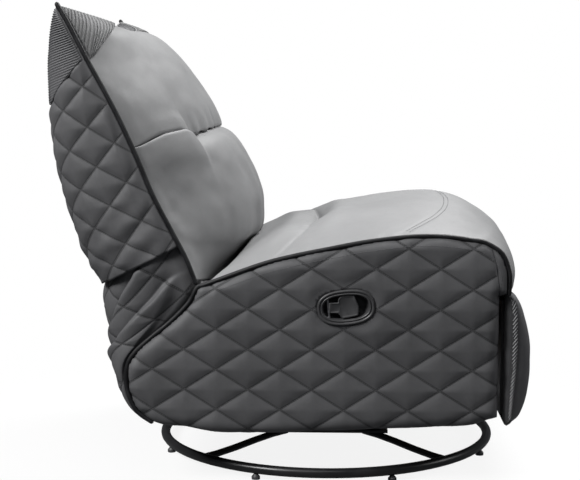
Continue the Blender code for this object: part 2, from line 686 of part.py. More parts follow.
def make_seat_frame():
    """Side boards, rails, deck and the steel side plates of the mechanism."""
    for side in (1, -1):
        plate("side_board_" + side_name(side), side_points(BOARD_shares), BOARD_INNER,
              BOARD_THICKNESS, side, "board", "seat")
        reach = MECHANISM_INNER - REAR_LINK_INNER
        far = MECHANISM_INNER - FRONT_LINK_INNER
        plate("mechanism_plate_" + side_name(side), side_points(MECHANISM_shares),
              MECHANISM_INNER, LINK_THICKNESS, side, "zinc", "seat",
              studs=((LINK_REAR_TOP, -reach), (LINK_FRONT_TOP, -far), (RECLINE, -reach)))
    half = BOARD_INNER - FIT
    front = SEAT_FRAME_FRONT_share * CHAIR_DEPTH
    rear = SEAT_FRAME_REAR_share * CHAIR_DEPTH
    low = DECK_Z - FIT - RAIL_HEIGHT
    frame_ring("seat_frame", [(-half, front, low), (half, front, low), (half, rear, low),
                              (-half, rear, low)],
               RAIL_WIDTH, Vector((0.0, 0.0, RAIL_HEIGHT)), "seat")
    for name, y in (("cross_rail_front", -SPRING_Y), ("cross_rail_rear", SPRING_Y)):
        box(name, (-half, y - CROSS_RAIL_WIDTH / 2, CROSS_RAIL_Z),
            (half, y + CROSS_RAIL_WIDTH / 2, CROSS_RAIL_Z + CROSS_RAIL_HEIGHT), "steel", "seat")
    box("seat_deck", (-half, front, DECK_Z), (half, rear, DECK_Z + DECK_THICKNESS), "board", "seat")


def make_seat_cushion():
    """Light seat cushion: crowned across, drawn in at the piping, with its centre tuft."""
    places = mirrored(CUSHION_COLUMN_shares)
    edge = seat_edge()
    crown = smooth_points(side_points(SEAT_CROWN_shares), SEAT_ROW_shares)
    under_y = np.interp(SEAT_ROW_shares, (0.0, 1.0), SEAT_UNDER_shares) * CHAIR_DEPTH
    deep = CUSHION_COLUMN_shares[5]
    inner = BOARD_INNER - FIT

    def bulge(share):
        return 1.0 - abs(share) ** SEAT_SQUARENESS

    def face_at(column, row):
        share = places[column]
        point = edge[row] + (crown[row] - edge[row]) * bulge(share)
        if SEAT_ROW_shares[row] == TUFT_ROW_share and abs(share) < TUFT_REACH_share:
            point = point - np.array((0.0, TUFT_DEPTH * (1 - abs(share) / TUFT_REACH_share)))
        return at(share * COVER_HALF, point)

    def back_at(column, row):
        share = places[column]
        if abs(share) <= deep:
            z = CUSHION_BASE_Z if row < len(edge) - 1 else crown[row][1] - FIT
            return at(inner * share / deep, (under_y[row], z))
        tangent = edge[min(row + 1, len(edge) - 1)] - edge[max(row - 1, 0)]
        tangent = tangent / np.linalg.norm(tangent)
        point = edge[row] + CUSHION_EDGE * np.array((-tangent[1], tangent[0]))
        x = inner * math.copysign(1.0, share) if abs(share) == CUSHION_COLUMN_shares[6] \
            else share * COVER_HALF
        return at(x, point)

    pillow("seat_cushion", len(places) - 1, len(SEAT_ROW_shares) - 1, face_at, back_at,
           "light_leather", "seat")


def make_side_panels():
    """Quilted bean-shaped side paddings, the right one cut for the handle cup."""
    outline = list(seat_edge())[::-1] + side_points(SEAT_REAR_shares + SEAT_BOTTOM_shares)
    outline = inset(outline, PIPING_RADIUS + FIT)
    low_y = min(p[0] for p in outline)
    low_z = min(p[1] for p in outline)
    columns = math.ceil((max(p[0] for p in outline) - low_y) / QUILT_HALF_LENGTH) + 2
    rows = math.ceil((max(p[1] for p in outline) - low_z) / QUILT_HALF_HEIGHT) + 2
    node = QUILT_NODE
    first_column = math.ceil((node[0] - low_y) / QUILT_HALF_LENGTH) + 1
    first_row = math.ceil((node[1] - low_z) / QUILT_HALF_HEIGHT) + 1
    shift = (first_column + first_row) % 2
    start = node - np.array(((first_column + shift) * QUILT_HALF_LENGTH,
                             first_row * QUILT_HALF_HEIGHT))
    for side in (1, -1):
        def face_at(column, row, side=side):
            puff = SIDE_PUFF if (column + row) % 2 else 0.0
            y = start[0] + column * QUILT_HALF_LENGTH
            z = start[1] + row * QUILT_HALF_HEIGHT
            return Vector((side * (SIDE_FACE + puff), y, z))

        def back_at(column, row, side=side):
            place = face_at(column, row, side)
            place.x = side * PADDING_INNER
            return place

        name = "side_panel_" + side_name(side)
        item = pillow(name, columns + 2, rows + 2, face_at, back_at, "dark_leather", "seat",
                      quilted=True)
        trim = plate(name + "_outline", outline, PADDING_INNER - OVERRUN,
                     SIDE_PADDING + 3 * OVERRUN, side, "dark_leather", "seat")
        cut(item, trim, "INTERSECT")
        if side < 0:
            opening = plate("cup_opening", cup_outline(FIT), PADDING_INNER - OVERRUN,
                            SIDE_PADDING + 3 * OVERRUN, side, "dark_leather", "seat")
            cut(item, opening)


def make_seat_piping():
    """Black piping round the top and the rear of each side."""
    points = list(seat_edge())[::-1] + side_points(SEAT_REAR_shares)
    for side in (1, -1):
        tube("seat_piping_" + side_name(side), [at(side * PIPING_X, p) for p in points],
             PIPING_RADIUS, "piping", "seat")


def make_skirt():
    """Lower back cover: a sheet round the rear from side to side, tucked in at the panels."""
    rows = len(SKIRT_REAR_shares) - 1
    rear = side_points(SKIRT_REAR_shares)
    front = side_points(SKIRT_FRONT_shares)
    tucked = PADDING_INNER - 2 * FIT
    open_rows = 2
    places = mirrored(SKIRT_COLUMN_shares)

    def sheet_at(column, row, depth):
        share = places[column]
        start, end = front[row], rear[row]
        width = COVER_HALF * SKIRT_WIDTH_shares[row]
        forward = COVER_HALF - 2 * FIT if row < open_rows else tucked
        tuck = 0.0 if row < open_rows else SKIRT_TUCK
        step = np.array((1.0, 0.0))
        if row < open_rows:
            step = (end - start) / np.linalg.norm(end - start)
        corner = start + SKIRT_CORNER_share * (end - start)
        rim = start + step * SKIRT_TUCK
        stops = [
            (0.0, end[0] - depth, end[1]),
            (width * SKIRT_COLUMN_shares[1], end[0] - depth, end[1]),
            (width * SKIRT_COLUMN_shares[3], end[0] - depth - SKIRT_TUCK / 4, end[1]),
            (width - depth, *corner),
            (forward - depth, *rim),
            (forward - depth, *(start - step * tuck)),
        ]
        x, y, z = stops[SKIRT_COLUMN_shares.index(abs(share))]
        return Vector((math.copysign(x, share), y, z))

    pillow("lower_back_cover", len(places) - 1, rows,
           lambda column, row: sheet_at(column, row, 0.0),
           lambda column, row: sheet_at(column, row, SKIRT_THICKNESS),
           "dark_leather", "seat")


def make_back_frame():
    """Frame of the back in its leaning plane, and the two brackets that hinge it."""
    half = REAR_LINK_INNER - FIT
    stop = BACK_FRAME_STOP
    corners = []
    for x, travel in ((-half, BACK_FRAME_START), (half, BACK_FRAME_START), (half, stop), (-half, stop)):
        place = RECLINE + UP_THE_BACK * travel - BEHIND_THE_BACK * BACK_FRAME_THICKNESS / 2
        corners.append(at(x, place))
    frame_ring("back_frame", corners, BACK_FRAME_BAR,
               at(0.0, BEHIND_THE_BACK * BACK_FRAME_THICKNESS), "back")
    for side in (1, -1):
        outline = bar_outline(RECLINE, RECLINE + UP_THE_BACK * BRACKET_LENGTH, BACK_FRAME_THICKNESS / 2)
        plate("back_bracket_" + side_name(side), outline, REAR_LINK_INNER, LINK_THICKNESS, side,
              "zinc", "back", holes=(RECLINE,))


def make_back_cushions():
    """Lumbar and head cushions: plump in the middle, flat where they lie on the frame."""
    places = mirrored(BACK_COLUMN_shares)
    deep = BACK_COLUMN_shares[-3]
    rows = BACK_CUSHION_ROWS
    stations = [k / rows for k in range(rows + 1)]
    for name, span_shares, crown_shares, taper in (
            ("lumbar_cushion", LUMBAR_SPAN_shares, LUMBAR_CROWN_shares, 0.0),
            ("head_cushion", HEAD_SPAN_shares, HEAD_CROWN_shares, HEAD_TAPER_share)):
        edge = back_edge(span_shares, rows)
        crown = smooth_points(side_points(crown_shares), stations)

        def front_point(share, row, edge=edge, crown=crown):
            return edge[row] + (crown[row] - edge[row]) * (1.0 - abs(share) ** BACK_SQUARENESS)

        def face_at(column, row, front_point=front_point):
            share = places[column]
            return at(share * COVER_HALF, front_point(share, row))

        def back_at(column, row, front_point=front_point, edge=edge, taper=taper):
            share = places[column]
            if abs(share) > deep:
                return at(share * COVER_HALF, edge[row] + BEHIND_THE_BACK * PIPING_RADIUS / 2)
            travel = float(np.dot(edge[row] - RECLINE, UP_THE_BACK))
            flat = RECLINE + UP_THE_BACK * travel - BEHIND_THE_BACK * (BACK_FRAME_THICKNESS / 2 + FIT)
            ease = min(1.0, (rows - row) / (rows * taper)) if taper else 1.0
            thin = front_point(share, row) + BEHIND_THE_BACK * PIPING_RADIUS / 2
            return at(share * COVER_HALF, thin + (flat - thin) * ease)

        pillow(name, len(places) - 1, rows, face_at, back_at, "light_leather", "back")


def surface_normals(points):
    """Unit normals of a grid of points, pointing away from its middle."""
    across = np.gradient(points, axis=0)
    along = np.gradient(points, axis=1)
    normals = np.cross(across, along)
    normals = normals / np.linalg.norm(normals, axis=2, keepdims=True)
    outward = np.sum(normals * (points - points.mean(axis=(0, 1))))
    return normals if outward > 0 else -normals


def make_back_shell():
    """Quilted outer shell of the back: sides, rear and top in one padded skin."""
    rear_points = side_points(SHELL_REAR_shares)
    rise = np.linalg.norm(rear_points[0] - rear_points[-1])
    rows = round(rise / QUILT_HALF_HEIGHT) + 2
    stations = [k / rows for k in range(rows + 1)]
    edge = back_edge(SHELL_SPAN_shares, rows, EAR_EASE)
    edge = edge + BEHIND_THE_BACK * (PIPING_RADIUS + FIT)
    rear = smooth_points(rear_points, stations)
    girth = PIPING_X + np.linalg.norm(rear[rows // 2] - edge[rows // 2])
    columns = 2 * round(girth / QUILT_HALF_LENGTH)
    across = [abs(2 * k / columns - 1) for k in range(columns + 1)]
    section = smooth_points([np.array(s) for s in SHELL_SECTION_shares],
                            [1.0 - share for share in across])
    roof = np.array([(share, 1.0 - share ** BACK_SQUARENESS) for share in across])
    skin = np.zeros((columns + 1, rows + 1, 3))
    for row in range(rows + 1):
        roof_share = max(0.0, 1.0 - row / SHELL_ROOF_ROWS)
        for column in range(columns + 1):
            side = -1.0 if column < columns / 2 else 1.0
            wide, deep = section[column] * (1.0 - roof_share) + roof[column] * roof_share
            point = edge[row] + (rear[row] - edge[row]) * deep
            skin[column, row] = (side * PIPING_X * wide, *point)
    normals = surface_normals(skin)
    normals[0] = (-1.0, 0.0, 0.0)
    normals[-1] = (1.0, 0.0, 0.0)

    def face_at(column, row):
        puffed = (column + row) % 2 and 0 < column < columns and 0 < row < rows
        puff = SHELL_PUFF if puffed else 0.0
        return Vector(skin[column, row] + normals[column, row] * puff)

    def back_at(column, row):
        thickness = min(SHELL_THICKNESS, SHELL_LIP * (row + 1))
        return Vector(skin[column, row] - normals[column, row] * thickness)

    pillow("back_shell", columns, rows, face_at, back_at, "dark_leather", "back", quilted=True)


def make_back_piping():
    """Black piping up both edges of the back to the tips of the corners."""
    points = back_edge(PIPING_SPAN_shares, BACK_PIPING_POINTS)
    for side in (1, -1):
        tube("back_piping_" + side_name(side), [at(side * PIPING_X, p) for p in points],
             PIPING_RADIUS, "piping", "back")


def make_footrest_links():
    """Two link pairs, their carriers, and the torque tube that joins the sides."""
    past = LINK_AIR + LINK_THICKNESS + FIT
    for side in (1, -1):
        label = side_name(side)
        plate("rear_link_" + label, bar_outline(LINK_REAR_TOP, LINK_REAR_LOW, LINK_HALF_WIDTH),
              REAR_LINK_INNER, LINK_THICKNESS, side, "zinc", "rear_links",
              holes=(LINK_REAR_TOP, LINK_REAR_LOW))
        plate("front_link_" + label, bar_outline(LINK_FRONT_TOP, LINK_FRONT_LOW, LINK_HALF_WIDTH),
              FRONT_LINK_INNER, LINK_THICKNESS, side, "zinc", "front_links",
              holes=(LINK_FRONT_TOP, LINK_FRONT_LOW))
        plate("footrest_carrier_" + label,
              bar_outline(LINK_REAR_LOW, CARRIER_END, LINK_HALF_WIDTH), CARRIER_INNER,
              LINK_THICKNESS, side, "zinc", "carriers",
              studs=((LINK_REAR_LOW, past), (CARRIER_END, past), (LINK_FRONT_LOW, -past)))
    middle = (LINK_REAR_LOW * 2 + LINK_FRONT_LOW) / 3
    half = CARRIER_INNER - FIT
    bm = bmesh.new()
    place = Matrix.Translation(at(0.0, middle)) @ Matrix.Rotation(math.pi / 2, 4, "Y")
    bmesh.ops.create_cone(bm, cap_ends=True, segments=ROUND_SIDES, radius1=TORQUE_TUBE_RADIUS,
                          radius2=TORQUE_TUBE_RADIUS, depth=2 * half, matrix=place)
    add_mesh("torque_tube", bm, "zinc", "carriers")


def make_footrest():
    """Padded footrest, its board and the brackets that hinge it on the carriers."""
    face_y = PAD_BACK_share * CHAIR_DEPTH
    board_y = face_y + FIT
    rear_y = board_y + FOOT_BOARD_THICKNESS
    low = FOOT_BOARD_LOW_share * CHAIR_HEIGHT
    top = FOOT_BOARD_TOP_share * CHAIR_HEIGHT
    box("footrest_board", (-FOOT_BOARD_HALF, board_y, low), (FOOT_BOARD_HALF, rear_y, top),
        "board", "footrest")
    places = mirrored(PAD_COLUMN_shares)
    stations = [k / PAD_ROWS for k in range(PAD_ROWS + 1)]
    crown = smooth_points(side_points(PAD_FACE_shares), stations)

    def face_at(column, row):
        share = places[column]
        swell = 1.0 - PAD_EDGE_share * abs(share) ** PAD_SQUARENESS
        drawn = face_y + (crown[row][0] - face_y) * swell
        return Vector((share * PAD_HALF, drawn, crown[row][1]))

    def back_at(column, row):
        return Vector((places[column] * PAD_HALF, face_y, crown[row][1]))

    pillow("footrest_pad", len(places) - 1, PAD_ROWS, face_at, back_at, "dark_leather", "footrest")
    start = rear_y + FIT
    foot_low = FOOT_BRACKET_LOW_share * CHAIR_HEIGHT
    foot_top = FOOT_BRACKET_TOP_share * CHAIR_HEIGHT
    outline = [np.array((start, foot_top)), np.array((start, foot_low))]
    for k in range(ROUND_SIDES // 2 + 1):
        a = -math.pi / 2 + math.pi * k / (ROUND_SIDES // 2)
        outline.append(CARRIER_END + LINK_HALF_WIDTH * np.array((math.cos(a), math.sin(a))))
    for side in (1, -1):
        plate("footrest_bracket_" + side_name(side), outline, REAR_LINK_INNER, LINK_THICKNESS,
              side, "zinc", "footrest", holes=(CARRIER_END,))


def cup_outline(grow):
    """Oval outline of the handle cup, grown by a clearance."""
    points = []
    for k in range(CUP_POINTS):
        a = 2 * math.pi * k / CUP_POINTS
        along = math.copysign(abs(math.cos(a)) ** CUP_ROUNDNESS, math.cos(a)) * (CUP_LENGTH / 2 + grow)
        rise = math.copysign(abs(math.sin(a)) ** CUP_ROUNDNESS, math.sin(a)) * (CUP_HEIGHT / 2 + grow)
        points.append(CUP_CENTRE + CUP_AXIS * along + CUP_RISE * rise)
    return points


def make_handle():
    """Moulded cup in the right side, with the pull paddle on its upright pin."""
    bm = bmesh.new()
    verts = [bm.verts.new(at(-PADDING_INNER - FIT, p)) for p in cup_outline(0.0)]
    base = bm.faces.new(verts)
    top = push(bm, [base], PADDING_INNER + FIT - CUP_FACE)
    bm.normal_update()
    bmesh.ops.inset_individual(bm, faces=top, thickness=CUP_RIM)
    push(bm, top, CUP_DEPTH, closed=True)
    add_mesh("handle_cup", bm, "moulding", "seat")
    pin_place = at(-LEVER_X, LEVER_PIVOT)
    tilt = Matrix.Rotation(-CUP_TILT, 4, "X")
    bm = bmesh.new()
    bmesh.ops.create_cone(bm, cap_ends=True, segments=ROUND_SIDES, radius1=LEVER_PIN_RADIUS,
                          radius2=LEVER_PIN_RADIUS, depth=2 * LEVER_PIN_HALF,
                          matrix=Matrix.Translation(pin_place) @ tilt)
    add_mesh("lever_pin", bm, "zinc", "seat")
    make_lever(pin_place, tilt)


def make_lever(pin_place, tilt):
    """T-shaped pull paddle: a stem with a bored knuckle and a wide blade."""
    bm = bmesh.new()
    frame = Matrix.Translation(pin_place) @ tilt
    half = LEVER_THICKNESS / 2
    outline = [(-LEVER_STEM_HALF, LEVER_KNUCKLE), (LEVER_STEM_HALF, LEVER_KNUCKLE),
               (LEVER_STEM_HALF, -LEVER_STEM_LENGTH), (LEVER_BLADE_HALF, -LEVER_STEM_LENGTH),
               (LEVER_BLADE_HALF, -LEVER_STEM_LENGTH - LEVER_BLADE_LENGTH),
               (-LEVER_BLADE_HALF, -LEVER_STEM_LENGTH - LEVER_BLADE_LENGTH),
               (-LEVER_BLADE_HALF, -LEVER_STEM_LENGTH), (-LEVER_STEM_HALF, -LEVER_STEM_LENGTH)]
    face = bm.faces.new([bm.verts.new((-LEVER_KNUCKLE, y, z)) for z, y in outline])
    push(bm, [face], LEVER_KNUCKLE + half)
    bmesh.ops.transform(bm, matrix=frame, verts=bm.verts)
    lever = add_mesh("release_lever", bm, "moulding", "handle")
    bm = bmesh.new()
    bmesh.ops.create_cone(bm, cap_ends=True, segments=ROUND_SIDES,
                          radius1=LEVER_PIN_RADIUS + FIT, radius2=LEVER_PIN_RADIUS + FIT,
                          depth=2 * LEVER_STEM_HALF + OVERRUN, matrix=frame)
    cut(lever, add_mesh("lever_bore", bm, "moulding", "handle"))


def main():
    clear_scene()
    make_pivots()
    make_ring()
    make_swivel()
    make_rocker()
    make_seat_frame()
    make_seat_cushion()
    make_side_panels()
    make_seat_piping()
    make_skirt()
    make_back_frame()
    make_back_cushions()
    make_back_shell()
    make_back_piping()
    make_footrest_links()
    make_footrest()
    make_handle()


main()
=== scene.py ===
"""Looks of the swivel rocker recliner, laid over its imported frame.

Lengths are in metres, +Z is up and the sitter faces -Y. Side view tables hold (y, z) pairs
counted from the swivel axis.
"""

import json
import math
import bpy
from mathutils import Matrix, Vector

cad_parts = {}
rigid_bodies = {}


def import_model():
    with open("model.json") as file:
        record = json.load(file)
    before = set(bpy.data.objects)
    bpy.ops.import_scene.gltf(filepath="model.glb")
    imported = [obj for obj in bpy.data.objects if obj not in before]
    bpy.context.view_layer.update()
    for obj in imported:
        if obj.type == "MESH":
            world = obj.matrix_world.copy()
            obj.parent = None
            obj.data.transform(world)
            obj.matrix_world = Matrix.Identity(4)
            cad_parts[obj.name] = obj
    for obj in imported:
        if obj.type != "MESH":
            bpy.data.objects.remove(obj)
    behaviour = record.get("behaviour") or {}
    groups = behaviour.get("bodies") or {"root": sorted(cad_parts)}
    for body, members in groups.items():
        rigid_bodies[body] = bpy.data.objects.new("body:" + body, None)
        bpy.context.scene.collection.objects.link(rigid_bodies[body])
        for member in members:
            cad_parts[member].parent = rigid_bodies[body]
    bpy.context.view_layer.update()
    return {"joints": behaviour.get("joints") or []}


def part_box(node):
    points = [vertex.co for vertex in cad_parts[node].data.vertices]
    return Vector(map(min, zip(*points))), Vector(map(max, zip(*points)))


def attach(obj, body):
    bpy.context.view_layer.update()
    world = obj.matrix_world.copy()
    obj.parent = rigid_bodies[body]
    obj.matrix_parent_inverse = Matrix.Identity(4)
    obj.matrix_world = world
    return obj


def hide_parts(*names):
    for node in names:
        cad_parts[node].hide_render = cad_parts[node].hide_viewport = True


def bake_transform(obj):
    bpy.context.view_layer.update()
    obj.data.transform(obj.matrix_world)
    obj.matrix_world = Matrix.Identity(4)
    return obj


bl_info = {
    "name": "Recliner upholstery",
    "version": (1, 0, 0),
    "blender": (4, 5, 0),
    "location": "View3D > Sidebar > Recliner",
    "description": "Upholsters a packed recliner frame with quilted and plain leather",
    "category": "Object",
}

import bmesh
import bpy
import numpy as np
from bpy.props import FloatProperty, FloatVectorProperty, PointerProperty
from mathutils import Vector, noise
from mathutils.bvhtree import BVHTree

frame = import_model()
JOINTS = {joint["name"]: joint for joint in frame["joints"]}
AXIS_Y = JOINTS["swivel"]["pos_m"][1]
RECLINE = np.array(JOINTS["recline"]["pos_m"][1:])

# A cover's gap to what carries it, and the smallest length that counts
FIT = 0.0003
TINY = 1e-12

# Half widths and heights taken from the frame
COVER_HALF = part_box("seat_cushion")[1][0]
PIPING_X = (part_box("seat_piping_left")[0][0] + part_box("seat_piping_left")[1][0]) / 2
PANEL_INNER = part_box("side_panel_left")[0][0]
BOARD_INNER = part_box("side_board_left")[0][0]
DECK_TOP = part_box("seat_deck")[1][2]

# The plane over which the leather of a side panel stands up
PANEL_FACE = 0.401

# Side view of the seat
SEAT_EDGE = [
    (0.2390, 0.4194), (0.1329, 0.4586), (0.0639, 0.4773), (-0.0113, 0.4929), (-0.0876, 0.5076),
    (-0.1782, 0.5184), (-0.2441, 0.5184), (-0.2966, 0.5116), (-0.3234, 0.5067), (-0.3574, 0.4841),
    (-0.3718, 0.4469), (-0.3729, 0.4204), (-0.3718, 0.4028)]
SEAT_CROWN = [
    (0.1563, 0.4840), (0.0968, 0.5086), (0.0103, 0.5321), (-0.0958, 0.5596), (-0.2142, 0.5743),
    (-0.2863, 0.5674), (-0.3348, 0.5468), (-0.3780, 0.5135), (-0.4016, 0.4714), (-0.4129, 0.4322),
    (-0.4119, 0.4028)]
SEAT_UNDER_Y = (0.2020, -0.3605)
SEAT_REAR = [
    (0.2575, 0.4126), (0.2760, 0.3802), (0.3141, 0.3410), (0.3523, 0.3097), (0.3862, 0.2783),
    (0.4017, 0.2519), (0.4048, 0.2120), (0.3960, 0.1780), (0.3805, 0.1520), (0.3543, 0.1335)]
SEAT_BOTTOM = [
    (0.3275, 0.1250), (0.2874, 0.1215), (0.2194, 0.1112), (0.1318, 0.1098), (0.0, 0.1156),
    (-0.1277, 0.1215), (-0.2822, 0.1284), (-0.3265, 0.1382), (-0.3533, 0.1470), (-0.3533, 0.3998)]
SEAT_STITCH_PLAN = [
    (-0.381, -0.158), (-0.350, -0.186), (-0.312, -0.216), (-0.262, -0.243), (-0.190, -0.262),
    (-0.090, -0.270), (0.0, -0.272)]

# Seam in front of which a side panel is plain
GUSSET = [(-0.3320, 0.5060), (-0.3440, 0.4630), (-0.3500, 0.4220), (-0.3530, 0.3950)]

# Side view of the back
BACK_EDGE = [
    (0.2606, 0.4224), (0.2812, 0.4743), (0.3141, 0.5380), (0.3471, 0.6027), (0.3770, 0.6762),
    (0.4120, 0.7536), (0.4439, 0.8154), (0.4738, 0.8702), (0.5109, 0.9428), (0.5325, 0.9800)]
LUMBAR_CROWN = [
    (0.2256, 0.4020), (0.2070, 0.4253), (0.1710, 0.4714), (0.1504, 0.4920), (0.1440, 0.5214),
    (0.1455, 0.5684), (0.1590, 0.6150), (0.1870, 0.6713), (0.2150, 0.7060), (0.2440, 0.7222),
    (0.2750, 0.7262)]
LUMBAR_SEAM = [(0.2060, 0.6990), (0.2210, 0.7180), (0.2300, 0.7300)]
HEAD_CROWN = [
    (0.2760, 0.7280), (0.2540, 0.7262), (0.2470, 0.7315), (0.2615, 0.7750), (0.2855, 0.8130),
    (0.3120, 0.8490), (0.3420, 0.8830), (0.3750, 0.9120), (0.4040, 0.9310), (0.4330, 0.9400),
    (0.4590, 0.9395)]
HEAD_SEAM = [(0.2310, 0.7315), (0.2360, 0.7420), (0.2450, 0.7560)]

# Shares of the width between which the crease dies away, its droop and the seams' arch
CREASE_REACH = (0.60, 0.67)
CREASE_DROOP = 0.011
SEAM_RISE = 0.014

# Shares of the back's edge that the cushions and the shell run along
LUMBAR_SPAN = (0.010, 0.4825)
HEAD_SPAN = (0.4840, 0.997)
SHELL_SPAN = (0.999, 0.131)

# Side view of the shell from its roof down: in the middle, at the ears, and its half section
SHELL_REAR = [
    (0.4630, 0.9380), (0.5000, 0.9360), (0.5300, 0.9290), (0.5520, 0.9120), (0.5640, 0.8900),
    (0.5710, 0.8379), (0.5696, 0.6958), (0.5541, 0.6096), (0.5284, 0.5312), (0.4975, 0.4518),
    (0.4700, 0.4060)]
SHELL_EAR = [
    (0.5345, 0.9800), (0.5420, 0.9690), (0.5520, 0.9500), (0.5600, 0.9240), (0.5650, 0.8950)]
SHELL_SECTION = [
    (1.0, 0.0), (0.998, 0.22), (0.985, 0.45), (0.955, 0.68), (0.89, 0.86), (0.78, 0.955),
    (0.60, 0.99), (0.30, 1.0), (0.0, 1.0)]

# Side view of the lower back cover
COVER_REAR = [
    (0.4580, 0.4290), (0.4730, 0.3960), (0.4790, 0.3580), (0.4710, 0.3200), (0.4585, 0.2850),
    (0.4470, 0.2500), (0.4370, 0.2150), (0.4250, 0.1850), (0.4080, 0.1640), (0.3870, 0.1460)]
COVER_FRONT = [
    (0.3010, 0.5180), (0.2860, 0.4820), (0.2700, 0.4460), (0.2600, 0.4130), (0.2775, 0.3830),
    (0.3140, 0.3445), (0.3525, 0.3125), (0.3870, 0.2800), (0.4035, 0.2530), (0.4068, 0.2131),
    (0.3985, 0.1800), (0.3850, 0.1545), (0.3700, 0.1400)]
COVER_WIDTH = 0.986

# Valleys of the cover's two deep folds
FOLDS = [
    [(0.3700, 0.4690), (0.3873, 0.4455), (0.3970, 0.4265), (0.4188, 0.3887), (0.4359, 0.3480),
     (0.4493, 0.3218), (0.4640, 0.2860)],
    [(0.2750, 0.4655), (0.2865, 0.4532), (0.3290, 0.4152), (0.3528, 0.3866), (0.3815, 0.3579),
     (0.4104, 0.3220), (0.4224, 0.3028), (0.4391, 0.2764), (0.4580, 0.2450)]]
FOLD_HEIGHT = 0.016

# Side view of the footrest pad
PAD_FACE = [
    (-0.3800, 0.3990), (-0.3985, 0.3780), (-0.4125, 0.3480), (-0.4235, 0.3170), (-0.4300, 0.2800),
    (-0.4310, 0.2450), (-0.4278, 0.2060), (-0.4190, 0.1670), (-0.4090, 0.1460), (-0.3975, 0.1350),
    (-0.3840, 0.1310)]
PAD_SEAM = [
    (-0.3790, 0.3985), (-0.3880, 0.3840), (-0.3925, 0.3500), (-0.3935, 0.2940), (-0.3915, 0.2450),
    (-0.3870, 0.1900), (-0.3840, 0.1540), (-0.3825, 0.1390), (-0.3800, 0.1315)]
PAD_BACK_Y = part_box("footrest_pad")[1][1] - FIT
BAND_REAR_Y = AXIS_Y - 0.3657
PAD_HALF = 0.380

# Places inside the soft pieces, away from which their faces point
INSIDE = {
    "seat": (0.0, AXIS_Y, 0.30),
    "lumbar": (0.0, AXIS_Y + 0.33, 0.52),
    "head": (0.0, AXIS_Y + 0.42, 0.82),
    "shell": (0.0, AXIS_Y + 0.44, 0.70),
    "ear": (0.0, AXIS_Y + 0.46, 0.80),
    "lower_cover": (0.0, AXIS_Y + 0.30, 0.28),
    "tuck": (0.0, AXIS_Y + 0.235, 0.20),
    "footrest": (0.0, PAD_BACK_Y, 0.26),
}

# Powers of the curves across the top of the back: in height, and in depth
EAR_PEAK = 2.0
EAR_SPREAD = 4.0

# The sitter's left and right: sense of X, and label
SIDES = ((1, "left"), (-1, "right"))

# Unit vectors in the side view: square to the back's plane, and up along it
BEHIND = np.array((0.899, -0.438))
UP_BACK = np.array((0.438, 0.899))


class ReclinerColours(bpy.types.PropertyGroup):
    """Base colours of the finishes."""
    light_leather: FloatVectorProperty(name="Light leather", description="Seat and back cushions",
                                       subtype="COLOR", default=(0.262, 0.263, 0.266))
    dark_leather: FloatVectorProperty(name="Dark leather", description="Quilted sides and shell",
                                      subtype="COLOR", default=(0.112, 0.112, 0.116))
    piping: FloatVectorProperty(name="Piping", description="Welts along the edges",
                                subtype="COLOR", default=(0.008, 0.008, 0.009))
    steel: FloatVectorProperty(name="Painted steel", description="Ring, legs and plates",
                               subtype="COLOR", default=(0.013, 0.013, 0.014))
    moulding: FloatVectorProperty(name="Moulding", description="Handle cup, paddle and feet",
                                  subtype="COLOR", default=(0.055, 0.055, 0.057))
    zinc: FloatVectorProperty(name="Zinc plate", description="Links, springs and pins",
                              subtype="COLOR", default=(0.46, 0.46, 0.47))
    plywood: FloatVectorProperty(name="Plywood", description="Boards and frames",
                                 subtype="COLOR", default=(0.50, 0.36, 0.21))


class ReclinerSizes(bpy.types.PropertyGroup):
    """Sizes of the upholstery's details."""
    quilt_length: FloatProperty(name="Quilt length", description="Length of one diamond",
                                default=0.130, unit="LENGTH")
    quilt_height: FloatProperty(name="Quilt height", description="Height of one diamond",
                                default=0.083, unit="LENGTH")
    quilt_puff: FloatProperty(name="Quilt puff", description="How far a diamond stands up",
                              default=0.0065, unit="LENGTH")
    tuft_depth: FloatProperty(name="Tuft depth", description="Depth of the seat's centre tuft",
                              default=0.024, unit="LENGTH")
    piping_radius: FloatProperty(name="Piping radius", description="Radius of the welts",
                                 default=0.0048, unit="LENGTH")
    thread_radius: FloatProperty(name="Thread radius", description="Radius of a stitch",
                                 default=0.0006, unit="LENGTH")
    stitch_pitch: FloatProperty(name="Stitch pitch", description="Length of one stitch and gap",
                                default=0.0075, unit="LENGTH")


def colours():
    """Colours that the panel sets."""
    return bpy.context.scene.recliner_colours


def sizes():
    """Sizes that the panel sets."""
    return bpy.context.scene.recliner_sizes


# Curves and surfaces

class Route:
    """Smooth curve through points, read by shares of its length."""

    def __init__(self, points, steps=16):
        points = [np.array(p, float) for p in points]
        ends = [points[0]] + points + [points[-1]]
        dense = []
        for a, b, c, d in zip(ends, ends[1:], ends[2:], ends[3:]):
            for k in range(steps):
                t = k / steps
                dense.append(0.5 * (2 * b + (c - a) * t + (2 * a - 5 * b + 4 * c - d) * t ** 2
                                    + (3 * b - a - 3 * c + d) * t ** 3))
        dense.append(points[-1])
        self.points = np.array(dense)
        self.travel = travelled(self.points)
        self.length = self.travel[-1]

    def __call__(self, places):
        """Points at shares of the curve's length."""
        at = np.asarray(places, float) * self.length
        return np.stack([np.interp(at, self.travel, self.points[:, k])
                         for k in range(self.points.shape[1])], -1)


def side_view(points):
    """Side view points moved from the swivel axis to the world's origin."""
    return [(y + AXIS_Y, z) for y, z in points]


def span(first, last, count):
    """Evenly spaced shares between two ends."""
    return np.linspace(first, last, count + 1)


def ease(value, low, high):
    """Smooth step from 0 at low to 1 at high."""
    t = np.clip((np.asarray(value, float) - low) / (high - low), 0.0, 1.0)
    return t * t * (3.0 - 2.0 * t)


